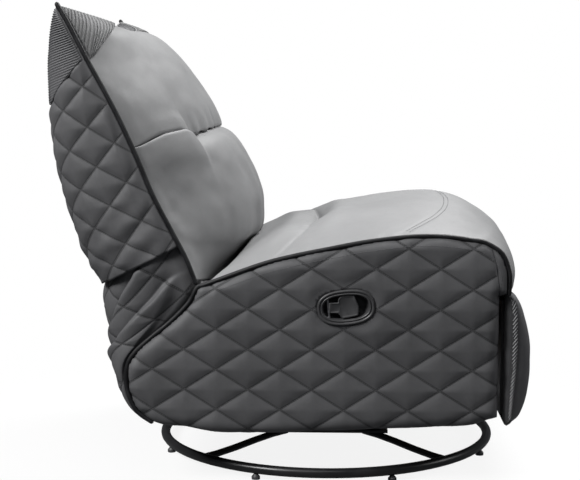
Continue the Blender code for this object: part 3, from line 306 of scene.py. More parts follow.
def fade(value, low, high):
    """Smooth step from 1 at low to 0 at high."""
    return 1.0 - ease(value, low, high)


def plateau(value, rise, fall):
    """1 between two smooth steps, each given by where it starts and ends."""
    return ease(value, *rise) * fade(value, *fall)


def travelled(points):
    """Distances travelled from the first point, or row of points, to each one."""
    steps = np.linalg.norm(np.diff(points, axis=0), axis=-1)
    return np.concatenate((np.zeros((1, *steps.shape[1:])), np.cumsum(steps, axis=0)))


def surface_normals(points):
    """Unit normals of a grid of points; their sense follows the grid's."""
    across = np.gradient(points, axis=0)
    along = np.gradient(points, axis=1)
    normals = np.cross(across, along)
    size = np.linalg.norm(normals, axis=2, keepdims=True)
    return normals / np.maximum(size, TINY)


def outward_normals(points, inside):
    """Unit normals of a grid of points, turned away from a place inside the piece."""
    normals = surface_normals(points)
    sense = np.sum(normals * (points - np.array(inside)))
    return normals if sense > 0 else -normals


def unit(vectors):
    """Vectors along the last axis brought to length 1."""
    return vectors / np.linalg.norm(vectors, axis=-1, keepdims=True)


def beside(line):
    """Unit vectors to the left of each point of a 2D line."""
    turn = unit(np.gradient(line, axis=0))
    return np.stack((-turn[:, 1], turn[:, 0]), 1)


def with_width(x, side):
    """Grid of points from an x per column and a side view line per column."""
    x = np.broadcast_to(x[:, None, None], (len(x), side.shape[1], 1))
    return np.concatenate((x, side), axis=2)


def edge_distance(shares, half):
    """Distance of each column of a cover from its nearer side edge."""
    return (1.0 - np.abs(shares))[:, None] * half


def bell(gap, width):
    """1 at a seam, falling off to nothing on both sides of it."""
    return np.exp(-(gap / width) ** 2)


def ripples(place, rate, sway, sway_rate, lean=0.0):
    """Waves whose rate sways along the way, so that no two folds are alike."""
    return np.sin(place * rate + sway * np.sin(place * sway_rate + lean))


NOISE_GAIN = 1.6


def waves(points, wavelength, seed):
    """Smooth noise between about -1 and 1 at each point of a grid."""
    flat = points.reshape(-1, 3) / wavelength
    values = [noise.noise(Vector((float(p[0]) + seed, float(p[1]) - seed, float(p[2]))))
              for p in flat]
    return np.array(values).reshape(points.shape[:-1]) * NOISE_GAIN


def drift(points, *layers):
    """Sum of layers of noise, each given by its height, wavelength and seed."""
    return sum(height * waves(points, wavelength, seed) for height, wavelength, seed in layers)


def quilt_pitch():
    """Distance between two neighbouring seams of the quilt."""
    return 1.0 / math.hypot(1.0 / sizes().quilt_length, 1.0 / sizes().quilt_height)


def quilt_lines(u, v, node=(0.0, 0.0)):
    """Distance in metres from (u, v) to the nearest of the diagonal quilt seams."""
    length, height = sizes().quilt_length, sizes().quilt_height
    p = (u - node[0]) / length + (v - node[1]) / height
    q = (u - node[0]) / length - (v - node[1]) / height
    return np.minimum(np.abs(p - np.round(p)), np.abs(q - np.round(q))) * quilt_pitch()


QUILT_VALLEY = 0.013


def quilt_height(u, v, node=(0.0, 0.0)):
    """How far quilted leather stands up: sharp valleys at the seams, domes between them."""
    distance = quilt_lines(u, v, node)
    return sizes().quilt_puff * (1.0 - np.exp(-distance / QUILT_VALLEY))


def path_distance(points, path):
    """Distance from each 2D point to a 2D path."""
    starts, ends = path[:-1], path[1:]
    steps = ends - starts
    best = np.full(len(points), np.inf)
    for start, step in zip(starts, steps):
        share = np.clip((points - start) @ step / max(step @ step, TINY), 0.0, 1.0)
        gap = np.linalg.norm(points - start - share[:, None] * step, axis=1)
        best = np.minimum(best, gap)
    return best


# Meshes

def grid_body(front, back, uv=None):
    """Closed bmesh whose two sides follow two grids of points of the same shape."""
    columns, rows = front.shape[0] - 1, front.shape[1] - 1
    bm = bmesh.new()
    bmesh.ops.create_grid(bm, x_segments=columns, y_segments=rows, size=1.0)
    places = {v: (round((v.co.x + 1) / 2 * columns), round((v.co.y + 1) / 2 * rows))
              for v in bm.verts}
    made = bmesh.ops.extrude_face_region(bm, geom=bm.faces[:])["geom"]
    fronts = {g for g in made if isinstance(g, bmesh.types.BMVert)}
    for v in fronts:
        places[v] = (round((v.co.x + 1) / 2 * columns), round((v.co.y + 1) / 2 * rows))
    if uv is not None:
        layer = bm.loops.layers.uv.new("quilt")
        for face in bm.faces:
            for loop in face.loops:
                loop[layer].uv = uv[places[loop.vert]]
    for v, place in places.items():
        v.co = front[place] if v in fronts else back[place]
    return bm


def finish_mesh(name, bm, material, sharp=None):
    """Turn a bmesh into an object whose faces point outwards."""
    bmesh.ops.recalc_face_normals(bm, faces=bm.faces)
    if bm.calc_volume(signed=True) < 0:
        bmesh.ops.reverse_faces(bm, faces=bm.faces)
    mesh = bpy.data.meshes.new(name)
    bm.to_mesh(mesh)
    bm.free()
    mesh.shade_smooth()
    if sharp is not None:
        mesh.set_sharp_from_angle(angle=math.radians(sharp))
    mesh.materials.append(material)
    piece = bpy.data.objects.new(name, mesh)
    bpy.context.collection.objects.link(piece)
    return piece


def settle(piece, body, slot, *nodes):
    """Let a piece ride on a body and stand for CAD nodes; the slot is not used."""
    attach(piece, body)
    if nodes:
        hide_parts(*nodes)
    return piece


def tube(name, paths, radius, material, resolution=3, cyclic=False, tips=False):
    """Round cord along one or more lists of world points, with round tips if asked."""
    data = bpy.data.curves.new(name, "CURVE")
    data.dimensions = "3D"
    data.bevel_depth = radius
    data.bevel_resolution = resolution
    data.use_fill_caps = not cyclic
    for path in paths:
        shares = [1.0] * len(path)
        if tips:
            path, shares = rounded_tips(np.array(path, float), radius)
        spline = data.splines.new("POLY")
        spline.points.add(len(path) - 1)
        for slot, point, share in zip(spline.points, path, shares):
            slot.co = (float(point[0]), float(point[1]), float(point[2]), 1.0)
            slot.radius = share
        spline.use_cyclic_u = cyclic
    data.materials.append(material)
    piece = bpy.data.objects.new(name, data)
    bpy.context.collection.objects.link(piece)
    return piece


TIP_TURNS = (15.0, 32.0, 50.0, 66.0, 80.0, 88.0)


def rounded_tips(path, radius):
    """Path made longer by its radius at both ends, with the radius shares of round tips."""
    turns = np.radians(TIP_TURNS)
    ahead = unit(path[-1] - path[-2])
    behind = unit(path[0] - path[1])
    end = path[-1] + np.sin(turns)[:, None] * ahead * radius
    start = path[0] + np.sin(turns[::-1])[:, None] * behind * radius
    shares = np.concatenate((np.cos(turns[::-1]), np.ones(len(path)), np.cos(turns)))
    return np.concatenate((start, path, end)), shares


def loft(name, loops, material, closed=False, sharp=None):
    """Skin over loops of points with the same count, closed on itself or capped at its ends."""
    bm = bmesh.new()
    rims = []
    for loop in loops:
        verts = [bm.verts.new(tuple(float(c) for c in p)) for p in loop]
        rims.append([bm.edges.new((verts[i - 1], verts[i])) for i in range(len(verts))])
    pairs = list(zip(rims, rims[1:]))
    if closed:
        pairs.append((rims[-1], rims[0]))
    for low, high in pairs:
        bmesh.ops.bridge_loops(bm, edges=low + high)
    if not closed:
        for rim in (rims[0], rims[-1]):
            bmesh.ops.contextual_create(bm, geom=rim)
    return finish_mesh(name, bm, material, sharp)


def shaded_groove_cord(name, line, radius, body):
    """Dark cord along a line: painted shade that stands for a sewn groove."""
    cord = tube(name, [line], radius, finish("dark_thread"), resolution=2)
    settle(cord, body, "piping")


def surface_of(piece):
    """Search tree over a piece's mesh."""
    return BVHTree.FromObject(piece, bpy.context.evaluated_depsgraph_get())


# Where a stitch enters, crests and leaves, as shares of its pitch, and its rise in thread radii
STITCH_SHARES = np.array((0.10, 0.5, 0.90))
STITCH_RISES = (-1.0, 0.6, -1.0)
STITCH_LIFT = 0.0002
LOOK_BACK = 0.2
LOOK_REACH = 0.5


def stitch_row(name, tree, path, toward, material):
    """Row of single stitches laid on a surface along a path, found by looking toward it."""
    pitch, radius = sizes().stitch_pitch, sizes().thread_radius
    route = Route(path, steps=8)
    count = int(route.length / pitch)
    look = Vector(toward)
    stitches = []
    for k in range(count):
        stitch = []
        for point, rise in zip(route((k + STITCH_SHARES) / count), STITCH_RISES):
            hit = tree.ray_cast(Vector(point) - look * LOOK_BACK, look, LOOK_REACH)
            if hit[0] is None:
                break
            stitch.append(hit[0] - look * (rise * radius + STITCH_LIFT))
        if len(stitch) == len(STITCH_RISES):
            stitches.append(stitch)
    return tube(name, stitches, radius, material, resolution=1)


# Materials

class Graph:
    """Short way to write a material's nodes."""

    def __init__(self, name):
        self.material = bpy.data.materials.new(name)
        self.material.use_nodes = True
        self.tree = self.material.node_tree
        self.shader = self.tree.nodes["Principled BSDF"]
        self.place = self.node("ShaderNodeTexCoord").outputs["Object"]

    def node(self, kind, **settings):
        """A new node with the settings given."""
        made = self.tree.nodes.new(kind)
        for key, value in settings.items():
            setattr(made, key, value)
        return made

    def feed(self, socket, value):
        """Link another node's output to a socket, or set the socket to a value."""
        if isinstance(value, bpy.types.NodeSocket):
            self.tree.links.new(value, socket)
        else:
            socket.default_value = value

    def math(self, operation, a, b=0.0, c=0.0, clamp=False):
        """Output of a math node."""
        made = self.node("ShaderNodeMath", operation=operation, use_clamp=clamp)
        for socket, value in zip(made.inputs, (a, b, c)):
            self.feed(socket, value)
        return made.outputs[0]

    def scaled(self, scale):
        """The object's coordinates, stretched along the axes."""
        made = self.node("ShaderNodeMapping")
        self.feed(made.inputs["Vector"], self.place)
        made.inputs["Scale"].default_value = scale
        return made.outputs[0]

    def noise(self, scale, detail=3.0, vector=None, roughness=0.5):
        """Noise between 0 and 1."""
        made = self.node("ShaderNodeTexNoise")
        self.feed(made.inputs["Vector"], vector or self.place)
        made.inputs["Scale"].default_value = scale
        made.inputs["Detail"].default_value = detail
        made.inputs["Roughness"].default_value = roughness
        return made.outputs[0]

    def cells(self, scale, vector):
        """Distance from the edges of irregular cells."""
        made = self.node("ShaderNodeTexVoronoi", feature="DISTANCE_TO_EDGE")
        self.feed(made.inputs["Vector"], vector)
        made.inputs["Scale"].default_value = scale
        return made.outputs["Distance"]

    def bands(self, scale, direction="DIAGONAL", distortion=0.0, detail=2.0, vector=None):
        """Straight bands that shade from 0 to 1."""
        made = self.node("ShaderNodeTexWave", wave_type="BANDS", bands_direction=direction)
        self.feed(made.inputs["Vector"], vector or self.place)
        made.inputs["Scale"].default_value = scale
        made.inputs["Distortion"].default_value = distortion
        made.inputs["Detail"].default_value = detail
        return made.outputs["Fac"]

    def ramp(self, value, low, high, start=0.0, stop=1.0):
        """Value mapped from low and high to start and stop, and held beyond them."""
        made = self.node("ShaderNodeMapRange", clamp=True)
        for socket, number in zip(made.inputs, (value, low, high, start, stop)):
            self.feed(socket, number)
        return made.outputs[0]

    def mix(self, share, first, second):
        """Two colours mixed."""
        made = self.node("ShaderNodeMix", data_type="RGBA")
        self.feed(made.inputs[0], share)
        for socket, colour in ((made.inputs[6], first), (made.inputs[7], second)):
            if isinstance(colour, bpy.types.NodeSocket):
                self.tree.links.new(colour, socket)
            else:
                socket.default_value = (*colour[:3], 1.0)
        return made.outputs[2]

    def bump(self, height, strength, distance, below=None):
        """Normal of a height map, laid over another normal if one is given."""
        made = self.node("ShaderNodeBump")
        self.feed(made.inputs["Height"], height)
        made.inputs["Strength"].default_value = strength
        made.inputs["Distance"].default_value = distance
        if below is not None:
            self.tree.links.new(below, made.inputs["Normal"])
        return made.outputs[0]

    def set(self, **values):
        """Feed the shader's inputs, and give back the finished material."""
        for key, value in values.items():
            self.feed(self.shader.inputs[key.replace("_", " ")], value)
        return self.material


def shade(colour, factor):
    """A colour made lighter or darker."""
    return tuple(min(1.0, c * factor) for c in colour)


def leather(name, colour, grain=0.0011, contrast=0.10, quilt_node=None):
    """Synthetic leather: fine pebble grain, soft blotches of tone and roughness and, on a quilt,
    stitched seams that cross at the node given."""
    g = Graph(name)
    blotch = g.noise(scale=7.0, detail=4.0)
    fine = g.noise(scale=60.0, detail=3.0)
    tone = g.math("ADD", g.math("MULTIPLY", blotch, 0.7), g.math("MULTIPLY", fine, 0.3))
    base = g.mix(g.ramp(tone, low=0.32, high=0.68),
                 shade(colour, 1.0 - contrast), shade(colour, 1.0 + contrast))
    warped = g.node("ShaderNodeVectorMath", operation="ADD")
    g.feed(warped.inputs[0], g.place)
    wobble = g.node("ShaderNodeTexNoise")
    wobble.inputs["Scale"].default_value = 180.0
    offset = g.node("ShaderNodeVectorMath", operation="SCALE")
    g.feed(offset.inputs[0], wobble.outputs["Color"])
    offset.inputs["Scale"].default_value = grain * 0.6
    g.feed(warped.inputs[1], offset.outputs[0])
    pores = g.ramp(g.cells(1.0 / grain, warped.outputs[0]), low=0.0, high=0.28)
    depth = g.math("MULTIPLY", g.math("SUBTRACT", 1.0, pores), 0.35)
    base = g.mix(depth, base, shade(colour, 0.72))
    creases = g.ramp(g.cells(26.0, g.scaled((1.0, 1.6, 0.8))), low=0.0, high=0.05)
    normal = g.bump(pores, strength=0.32, distance=0.00022)
    normal = g.bump(creases, strength=0.10, distance=0.0004, below=normal)
    rough = g.math("ADD", g.math("MULTIPLY", blotch, 0.16), 0.47)
    if quilt_node is not None:
        base, normal, rough = quilt_seams(g, base, normal, rough, colour, quilt_node)
    return g.set(Base_Color=base, Roughness=rough, Normal=normal, Specular_IOR_Level=0.35)


THREAD_DASH = 0.0042


def quilt_seams(g, base, normal, rough, colour, node):
    """Stitched seams drawn on the quilt map's diagonals, with painted shade in their valleys."""
    split = g.node("ShaderNodeSeparateXYZ")
    g.feed(split.inputs[0], g.node("ShaderNodeUVMap", uv_map="quilt").outputs[0])
    u = g.math("MULTIPLY", g.math("SUBTRACT", split.outputs[0], node[0]),
               1.0 / sizes().quilt_length)
    v = g.math("MULTIPLY", g.math("SUBTRACT", split.outputs[1], node[1]),
               1.0 / sizes().quilt_height)
    p = g.math("ADD", u, v)
    q = g.math("SUBTRACT", u, v)
    seams = []
    threads = []
    for along, other in ((p, q), (q, p)):
        gap = g.math("MULTIPLY", g.math("PINGPONG", along, 0.5), quilt_pitch())
        seams.append(g.ramp(gap, low=0.0008, high=0.0030))
        dash = g.math("PINGPONG", g.math("MULTIPLY", other, quilt_pitch() / THREAD_DASH), 0.5)
        on = g.ramp(dash, low=0.10, high=0.18)
        width = g.ramp(gap, low=0.0006, high=0.0011, start=1.0, stop=0.0)
        threads.append(g.math("MULTIPLY", width, on))
    clear = g.math("MINIMUM", seams[0], seams[1])
    thread = g.math("MAXIMUM", threads[0], threads[1])
    # Painted shade: the leather is darkened along the seam valleys.
    base = g.mix(g.math("SUBTRACT", 1.0, clear), base, shade(colour, 0.30))
    base = g.mix(thread, base, shade(colour, 0.75))
    normal = g.bump(clear, strength=0.55, distance=0.0009, below=normal)
    normal = g.bump(thread, strength=0.60, distance=0.0005, below=normal)
    rough = g.math("ADD", rough, g.math("MULTIPLY", thread, 0.15), clamp=True)
    return base, normal, rough


def woven_tape(name, colour):
    """Welt tape: tight twill weave over a cord."""
    g = Graph(name)
    twill = g.bands(210.0, distortion=1.5)
    dust = g.noise(scale=45.0, detail=4.0)
    return g.set(Base_Color=g.mix(g.ramp(dust, low=0.35, high=0.75), colour, shade(colour, 1.9)),
                 Roughness=g.ramp(dust, low=0.3, high=0.7, start=0.42, stop=0.60),
                 Normal=g.bump(twill, strength=0.35, distance=0.0003),
                 Specular_IOR_Level=0.4)


def painted_steel(name, colour):
    """Satin powder coat with faint orange peel and rubbed patches."""
    g = Graph(name)
    peel = g.noise(scale=900.0, detail=2.0)
    rub = g.noise(scale=16.0, detail=5.0)
    return g.set(Base_Color=g.mix(g.ramp(rub, low=0.45, high=0.75), colour, shade(colour, 1.8)),
                 Roughness=g.ramp(rub, low=0.3, high=0.7, start=0.26, stop=0.40),
                 Normal=g.bump(peel, strength=0.12, distance=0.0003),
                 Specular_IOR_Level=0.55)


def zinc_plate(name, colour):
    """Rolled steel with a bright plated skin and streaks along Y."""
    g = Graph(name)
    streak = g.noise(scale=70.0, detail=3.0, vector=g.scaled((2.0, 0.12, 2.0)))
    cloud = g.noise(scale=22.0, detail=4.0)
    return g.set(Base_Color=g.mix(g.ramp(cloud, low=0.35, high=0.70),
                                  shade(colour, 0.82), shade(colour, 1.12)),
                 Roughness=g.ramp(streak, low=0.3, high=0.7, start=0.28, stop=0.48),
                 Normal=g.bump(streak, strength=0.15, distance=0.0002),
                 Metallic=1.0)


def plywood(name, colour):
    """Raw plywood: long grain, darker pores and faint plies."""
    g = Graph(name)
    grain = g.noise(scale=30.0, detail=6.0, vector=g.scaled((1.2, 0.16, 1.6)), roughness=0.6)
    rings = g.bands(12.0, direction="Z", distortion=7.0, detail=3.0,
                    vector=g.scaled((0.4, 0.2, 1.0)))
    tone = g.math("ADD", g.math("MULTIPLY", grain, 0.6), g.math("MULTIPLY", rings, 0.4))
    return g.set(Base_Color=g.mix(g.ramp(tone, low=0.25, high=0.75),
                                  shade(colour, 0.66), shade(colour, 1.18)),
                 Roughness=g.ramp(grain, low=0.3, high=0.7, start=0.62, stop=0.82),
                 Normal=g.bump(grain, strength=0.30, distance=0.0005),
                 Specular_IOR_Level=0.25)


def moulded_plastic(name, colour):
    """Spark-textured black plastic."""
    g = Graph(name)
    spark = g.noise(scale=1400.0, detail=3.0)
    scuff = g.noise(scale=30.0, detail=5.0)
    return g.set(Base_Color=g.mix(g.ramp(scuff, low=0.5, high=0.8), colour, shade(colour, 1.7)),
                 Roughness=g.ramp(scuff, low=0.3, high=0.7, start=0.34, stop=0.50),
                 Normal=g.bump(spark, strength=0.22, distance=0.00015),
                 Specular_IOR_Level=0.5)


def thread_material(name, colour):
    """Twisted polyester thread."""
    g = Graph(name)
    twist = g.bands(700.0)
    return g.set(Base_Color=g.mix(twist, shade(colour, 0.7), shade(colour, 1.3)),
                 Roughness=0.65,
                 Normal=g.bump(twist, strength=0.3, distance=0.0002))


DARK_CONTRAST = 0.16


def quilted(name, node):
    """Quilted dark leather whose stitched seams cross at a node."""
    if name not in bpy.data.materials:
        leather(name, tuple(colours().dark_leather), contrast=DARK_CONTRAST, quilt_node=node)
    return bpy.data.materials[name]


# Grain of the ribbed leather, colours of the threads, and of the dark cords of painted groove shade
RIB_GRAIN = 0.0009
THREADS = {
    "dark_thread": (0.035, 0.035, 0.037),
    "grey_thread": (0.12, 0.12, 0.125),
    "pale_thread": (0.34, 0.34, 0.345),
}


def finish(kind):
    """One material of each finish, made the first time it is asked for."""
    c = colours()
    name = "finish_" + kind
    makers = {
        "light_leather": lambda: leather(name, tuple(c.light_leather), contrast=0.06),
        "dark_leather": lambda: leather(name, tuple(c.dark_leather), contrast=DARK_CONTRAST),
        "quilted_leather": lambda: quilted(name, (0.0, 0.0)),
        # Front patches: a darker copy of the light leather, its shade painted in.
        "ribbed_light": lambda: leather(name, shade(c.light_leather, 0.56), RIB_GRAIN, 0.08),
        # Side patches: a lighter copy of the dark leather, painted light.
        "ribbed_dark": lambda: leather(name, shade(c.dark_leather, 1.25), RIB_GRAIN, 0.15),
        # Footrest band: a darker copy of the dark leather, painted shade.
        "ribbed_band": lambda: leather(name, shade(c.dark_leather, 0.70), RIB_GRAIN, 0.15),
        "piping": lambda: woven_tape(name, tuple(c.piping)),
        "steel": lambda: painted_steel(name, tuple(c.steel)),
        "zinc": lambda: zinc_plate(name, tuple(c.zinc)),
        "board": lambda: plywood(name, tuple(c.plywood)),
        "moulding": lambda: moulded_plastic(name, tuple(c.moulding)),
    }
    if name not in bpy.data.materials:
        if kind in THREADS:
            thread_material(name, THREADS[kind])
        else:
            makers[kind]()
    return bpy.data.materials[name]


# Light leather

CUSHION_ROUNDNESS = 2.6


def crowned(edge, crown, shares, roundness):
    """Grid of points between an edge line and its crown line, or a crown line per column."""
    swell = 1.0 - np.abs(shares)[:, None] ** roundness
    side = edge[None] + (crown - edge) * swell[..., None]
    return with_width(shares * COVER_HALF, side)


def column_shares(count):
    """Places across a cushion, closer together towards both edges."""
    even = np.linspace(-1.0, 1.0, count + 1)
    return np.sin(even * math.pi / 2) * 0.35 + even * 0.65


def calm_rim(edge_gap, places, wide, start, stop):
    """1 over the middle of a cover, falling to nothing at its rim, where it is sewn on."""
    ends = plateau(places, (0.0, start), (stop, 1.0))
    return ease(edge_gap, 0.0, wide) * ends[None]


def padded_cover(name, bm, material, body, slot, node):
    """Cover over filling, which stands for one CAD node."""
    piece = finish_mesh(name, bm, material)
    settle(piece, body, slot, node)
    return piece


def seat_front_surface(shares, places):
    """Top and front of the seat cushion before its seams and folds."""
    edge = Route(side_view(SEAT_EDGE))(places)
    crown = Route(side_view(SEAT_CROWN))(places)
    return crowned(edge, crown, shares, CUSHION_ROUNDNESS)


# The double stitch near the front of the seat
STITCH_GAP = 0.009
STITCH_DENT = 0.0016
STITCH_DENT_WIDTH = 0.0038
STITCH_EYE_Z = 0.70


def seat_stitch_paths():
    """The two seams that swoop from the side welts and cross the front of the seat."""
    right = [(x, y + AXIS_Y) for x, y in SEAT_STITCH_PLAN]
    outer = Route(right + [(-x, y) for x, y in reversed(right[:-1])])
    line = outer(span(0.0, 1.0, 160))
    return line, line + beside(line) * STITCH_GAP


def sink_seams(points, normals, paths, depth, width):
    """Press seams given in plan into a surface seen from above."""
    flat = points[..., :2].reshape(-1, 2)
    upward = (normals[..., 2] > 0.1).reshape(-1)
    near = np.full(len(flat), 1.0)
    for path in paths:
        near[upward] = np.minimum(near[upward], path_distance(flat[upward], path))
    press = depth * bell(near, width)
    return points - normals * press.reshape(points.shape[:2])[..., None]


# The seat's cross seam: its share of the crown line, its bow and its press
SEAM_SHARE = 0.195
SEAM_BOW = 0.012
SEAM_PRESS = 0.0045
SEAM_WIDTH = 0.006
SEAM_SHARPNESS = 1.2

SEAM_FADE = (0.88, 1.0)

# The tuft in the middle of the seam: its reach, its form, and what it adds at and near the seam
TUFT_SHARE = 0.42
TUFT_POWER = 1.5
TUFT_AT_SEAM = 0.45
TUFT_ROUND = 0.75
TUFT_WIDTH = 0.030

# The swells beside the seam, its puckers and the gathers of the edge: height, width and fade
# across the seat, with the rates of their ripples
SWELL = 0.006
SWELL_GAP = 0.050
SWELL_WIDTH = 0.028
SWELL_FADE = (0.45, 0.95)
PUCKER = 0.0016
PUCKER_WIDTH = 0.035
PUCKER_FADE = (0.30, 0.70)
PUCKER_RIPPLE = (58.0, 3.0, 11.0)
SEAT_GATHER = 0.0009
SEAT_GATHER_WIDTH = 0.022
SEAT_GATHER_RIPPLE = (95.0, 2.0, 23.0)

# Soft waves of the seat, and how far from its welts and its front they start
SEAT_DRIFT = ((0.0022, 0.16, 3.0), (0.0007, 0.045, 9.0))
SEAT_CALM = 0.02
SEAT_CALM_SHARE = 0.03

# Underside of the seat: shares of the width at the deck, the boards and the welts
SEAT_LIP = 0.0042
SEAT_FLOOR_GAP = 0.0004
SEAT_WALL_SHARES = (0.0, 0.832, 0.87, 0.93, 1.0)


class RECLINER_OT_seat_cushion(bpy.types.Operator):
    """Crowned seat cushion with its tufted cross seam and double front stitching"""
    bl_idname = "recliner.seat_cushion"
    bl_label = "Seat cushion"

    def execute(self, context):
        shares = column_shares(180)
        places = span(0.0, 1.0, 170)
        points = seat_front_surface(shares, places)
        normals = outward_normals(points, INSIDE["seat"])
        points = points + normals * self.relief(shares, places, points)[..., None]
        paths = seat_stitch_paths()
        points = sink_seams(points, normals, paths, STITCH_DENT, STITCH_DENT_WIDTH)
        piece = padded_cover("seat_cushion_cover", grid_body(points, self.underside(shares, places)),
                             finish("light_leather"), "seat", "light_leather", "seat_cushion")
        tree = surface_of(piece)
        for number, path in enumerate(paths):
            line = [(x, y, STITCH_EYE_Z) for x, y in path[4:-4]]
            row = stitch_row("seat_stitch_%d" % (number + 1), tree, line, (0.0, 0.0, -1.0),
                             finish("grey_thread"))
            settle(row, "seat", "piping")
        return {"FINISHED"}

    def relief(self, shares, places, points):
        """Height of the leather over its crown: tufted cross seam, puckers and soft waves."""
        across = np.abs(shares)[:, None]
        seam = SEAM_SHARE + SEAM_BOW * (1.0 - across ** 2)
        gap = (places[None] - seam) * Route(side_view(SEAT_CROWN)).length
        tuft = np.clip(1.0 - (across / TUFT_SHARE) ** 2, 0.0, 1.0) ** TUFT_POWER
        tuft = tuft * sizes().tuft_depth
        press = SEAM_PRESS + tuft * TUFT_AT_SEAM
        press = press * np.exp(-(np.abs(gap) / SEAM_WIDTH) ** SEAM_SHARPNESS)
        press = press * fade(across, *SEAM_FADE) + tuft * TUFT_ROUND * bell(gap, TUFT_WIDTH)
        swell = SWELL * bell(np.abs(gap) - SWELL_GAP, SWELL_WIDTH)
        swell = swell * fade(across, *SWELL_FADE)
        pucker = PUCKER * ripples(shares[:, None], *PUCKER_RIPPLE) * bell(gap, PUCKER_WIDTH)
        pucker = pucker * fade(across, *PUCKER_FADE)
        edge_gap = edge_distance(shares, COVER_HALF)
        gathers = SEAT_GATHER * ripples(places[None], *SEAT_GATHER_RIPPLE)
        gathers = gathers * bell(edge_gap, SEAT_GATHER_WIDTH)
        rim = ease(edge_gap, 0.0, SEAT_CALM) * ease(1.0 - places[None], 0.0, SEAT_CALM_SHARE)
        return (swell + pucker + gathers - press + drift(points, *SEAT_DRIFT)) * rim

    def underside(self, shares, places):
        """Flat base on the deck, side walls inside the boards and a lip under the welts."""
        edge = Route(side_view(SEAT_EDGE))(places)
        crown = Route(side_view(SEAT_CROWN))(places)
        lip = edge + SEAT_LIP * beside(edge)
        base_y = np.interp(places, (0.0, 1.0), SEAT_UNDER_Y) + AXIS_Y
        base = np.stack((base_y, np.full(len(places), DECK_TOP + SEAT_FLOOR_GAP)), 1)
        base[-1, 1] = crown[-1, 1] - FIT
        inner = BOARD_INNER - SEAT_FLOOR_GAP
        widths = (0.0, inner, inner, SEAT_WALL_SHARES[3] * COVER_HALF, COVER_HALF)
        x = np.interp(np.abs(shares), SEAT_WALL_SHARES, widths) * np.sign(shares)
        low = fade(np.abs(shares), *SEAT_WALL_SHARES[1:3])
        return with_width(x, lip[None] + (base - lip)[None] * low[:, None, None])


# Underside of a back cushion: its flat on the frame, its rim and its thickness at the sides,
# the shares of the width of its side wall, and the shares of the height of a head's taper
CUSHION_FLAT = 0.0105
CUSHION_RIM = 0.0024
CUSHION_THIN = 0.0030
CUSHION_WALL = (0.950, 0.975)
HEAD_TAPER = (0.60, 1.0)


def back_underside(shares, edge, front, tapered):
    """Back of a back cushion: flat on the frame, thin towards the edges and the top."""
    size = np.abs(shares)
    travel = (edge - RECLINE) @ UP_BACK
    flat = RECLINE + travel[:, None] * UP_BACK - BEHIND * CUSHION_FLAT
    rim = edge + BEHIND * CUSHION_RIM
    thin = front[..., 1:] + BEHIND * CUSHION_THIN
    share = np.ones(len(edge))
    if tapered:
        share = fade(span(0.0, 1.0, len(edge) - 1), *HEAD_TAPER)
    inner = thin + (flat[None] - thin) * share[None, :, None]
    low = fade(size, *CUSHION_WALL)
    side = rim[None] + (inner - rim[None]) * low[:, None, None]
    return np.concatenate((front[..., :1], side), axis=2)


# The lumbar cushion's roundness, its droop, folds and soft waves; pairs are shares of its height
# between which something starts or ends
LUMBAR_ROUNDNESS = (2.5, 3.0)
LUMBAR_ROUNDING = (0.55, 0.95)
LUMBAR_DROOP = (0.60, 1.0)
LUMBAR_FOLD = 0.0022
LUMBAR_RIPPLE = (21.0, 1.5, 7.0)
LUMBAR_LEAN = 2.0
FOLD_START = (0.05, 0.35)
FOLD_END = (0.70, 0.95)
FOLD_EDGE = (0.03, 0.15)
LUMBAR_DRIFT = ((0.0035, 0.15, 21.0), (0.0009, 0.04, 5.0))
LUMBAR_DRIFT_END = (0.72, 0.98)
LUMBAR_GATHER = 0.0016

# The head cushion's pleats over the crease, and its soft waves
HEAD_PLEAT = 0.0024
HEAD_RIPPLE = (60.0, 2.0, 9.0)
HEAD_LEAN = 3.0
PLEAT_START = (0.04, 0.08)
PLEAT_END = (0.10, 0.26)
PLEAT_FADE = (0.54, 0.62)
HEAD_DRIFT = ((0.0026, 0.17, 41.0), (0.0008, 0.04, 15.0))
HEAD_DRIFT_START = (0.0, 0.30)
HEAD_GATHER = 0.0014

# Gathers along the welts of both, and the dent at the crease
BACK_GATHER_LENGTH = 0.030
BACK_GATHER_WIDTH = 0.035
CREASE_DENT = 0.0016
CREASE_DENT_WIDTH = 0.008


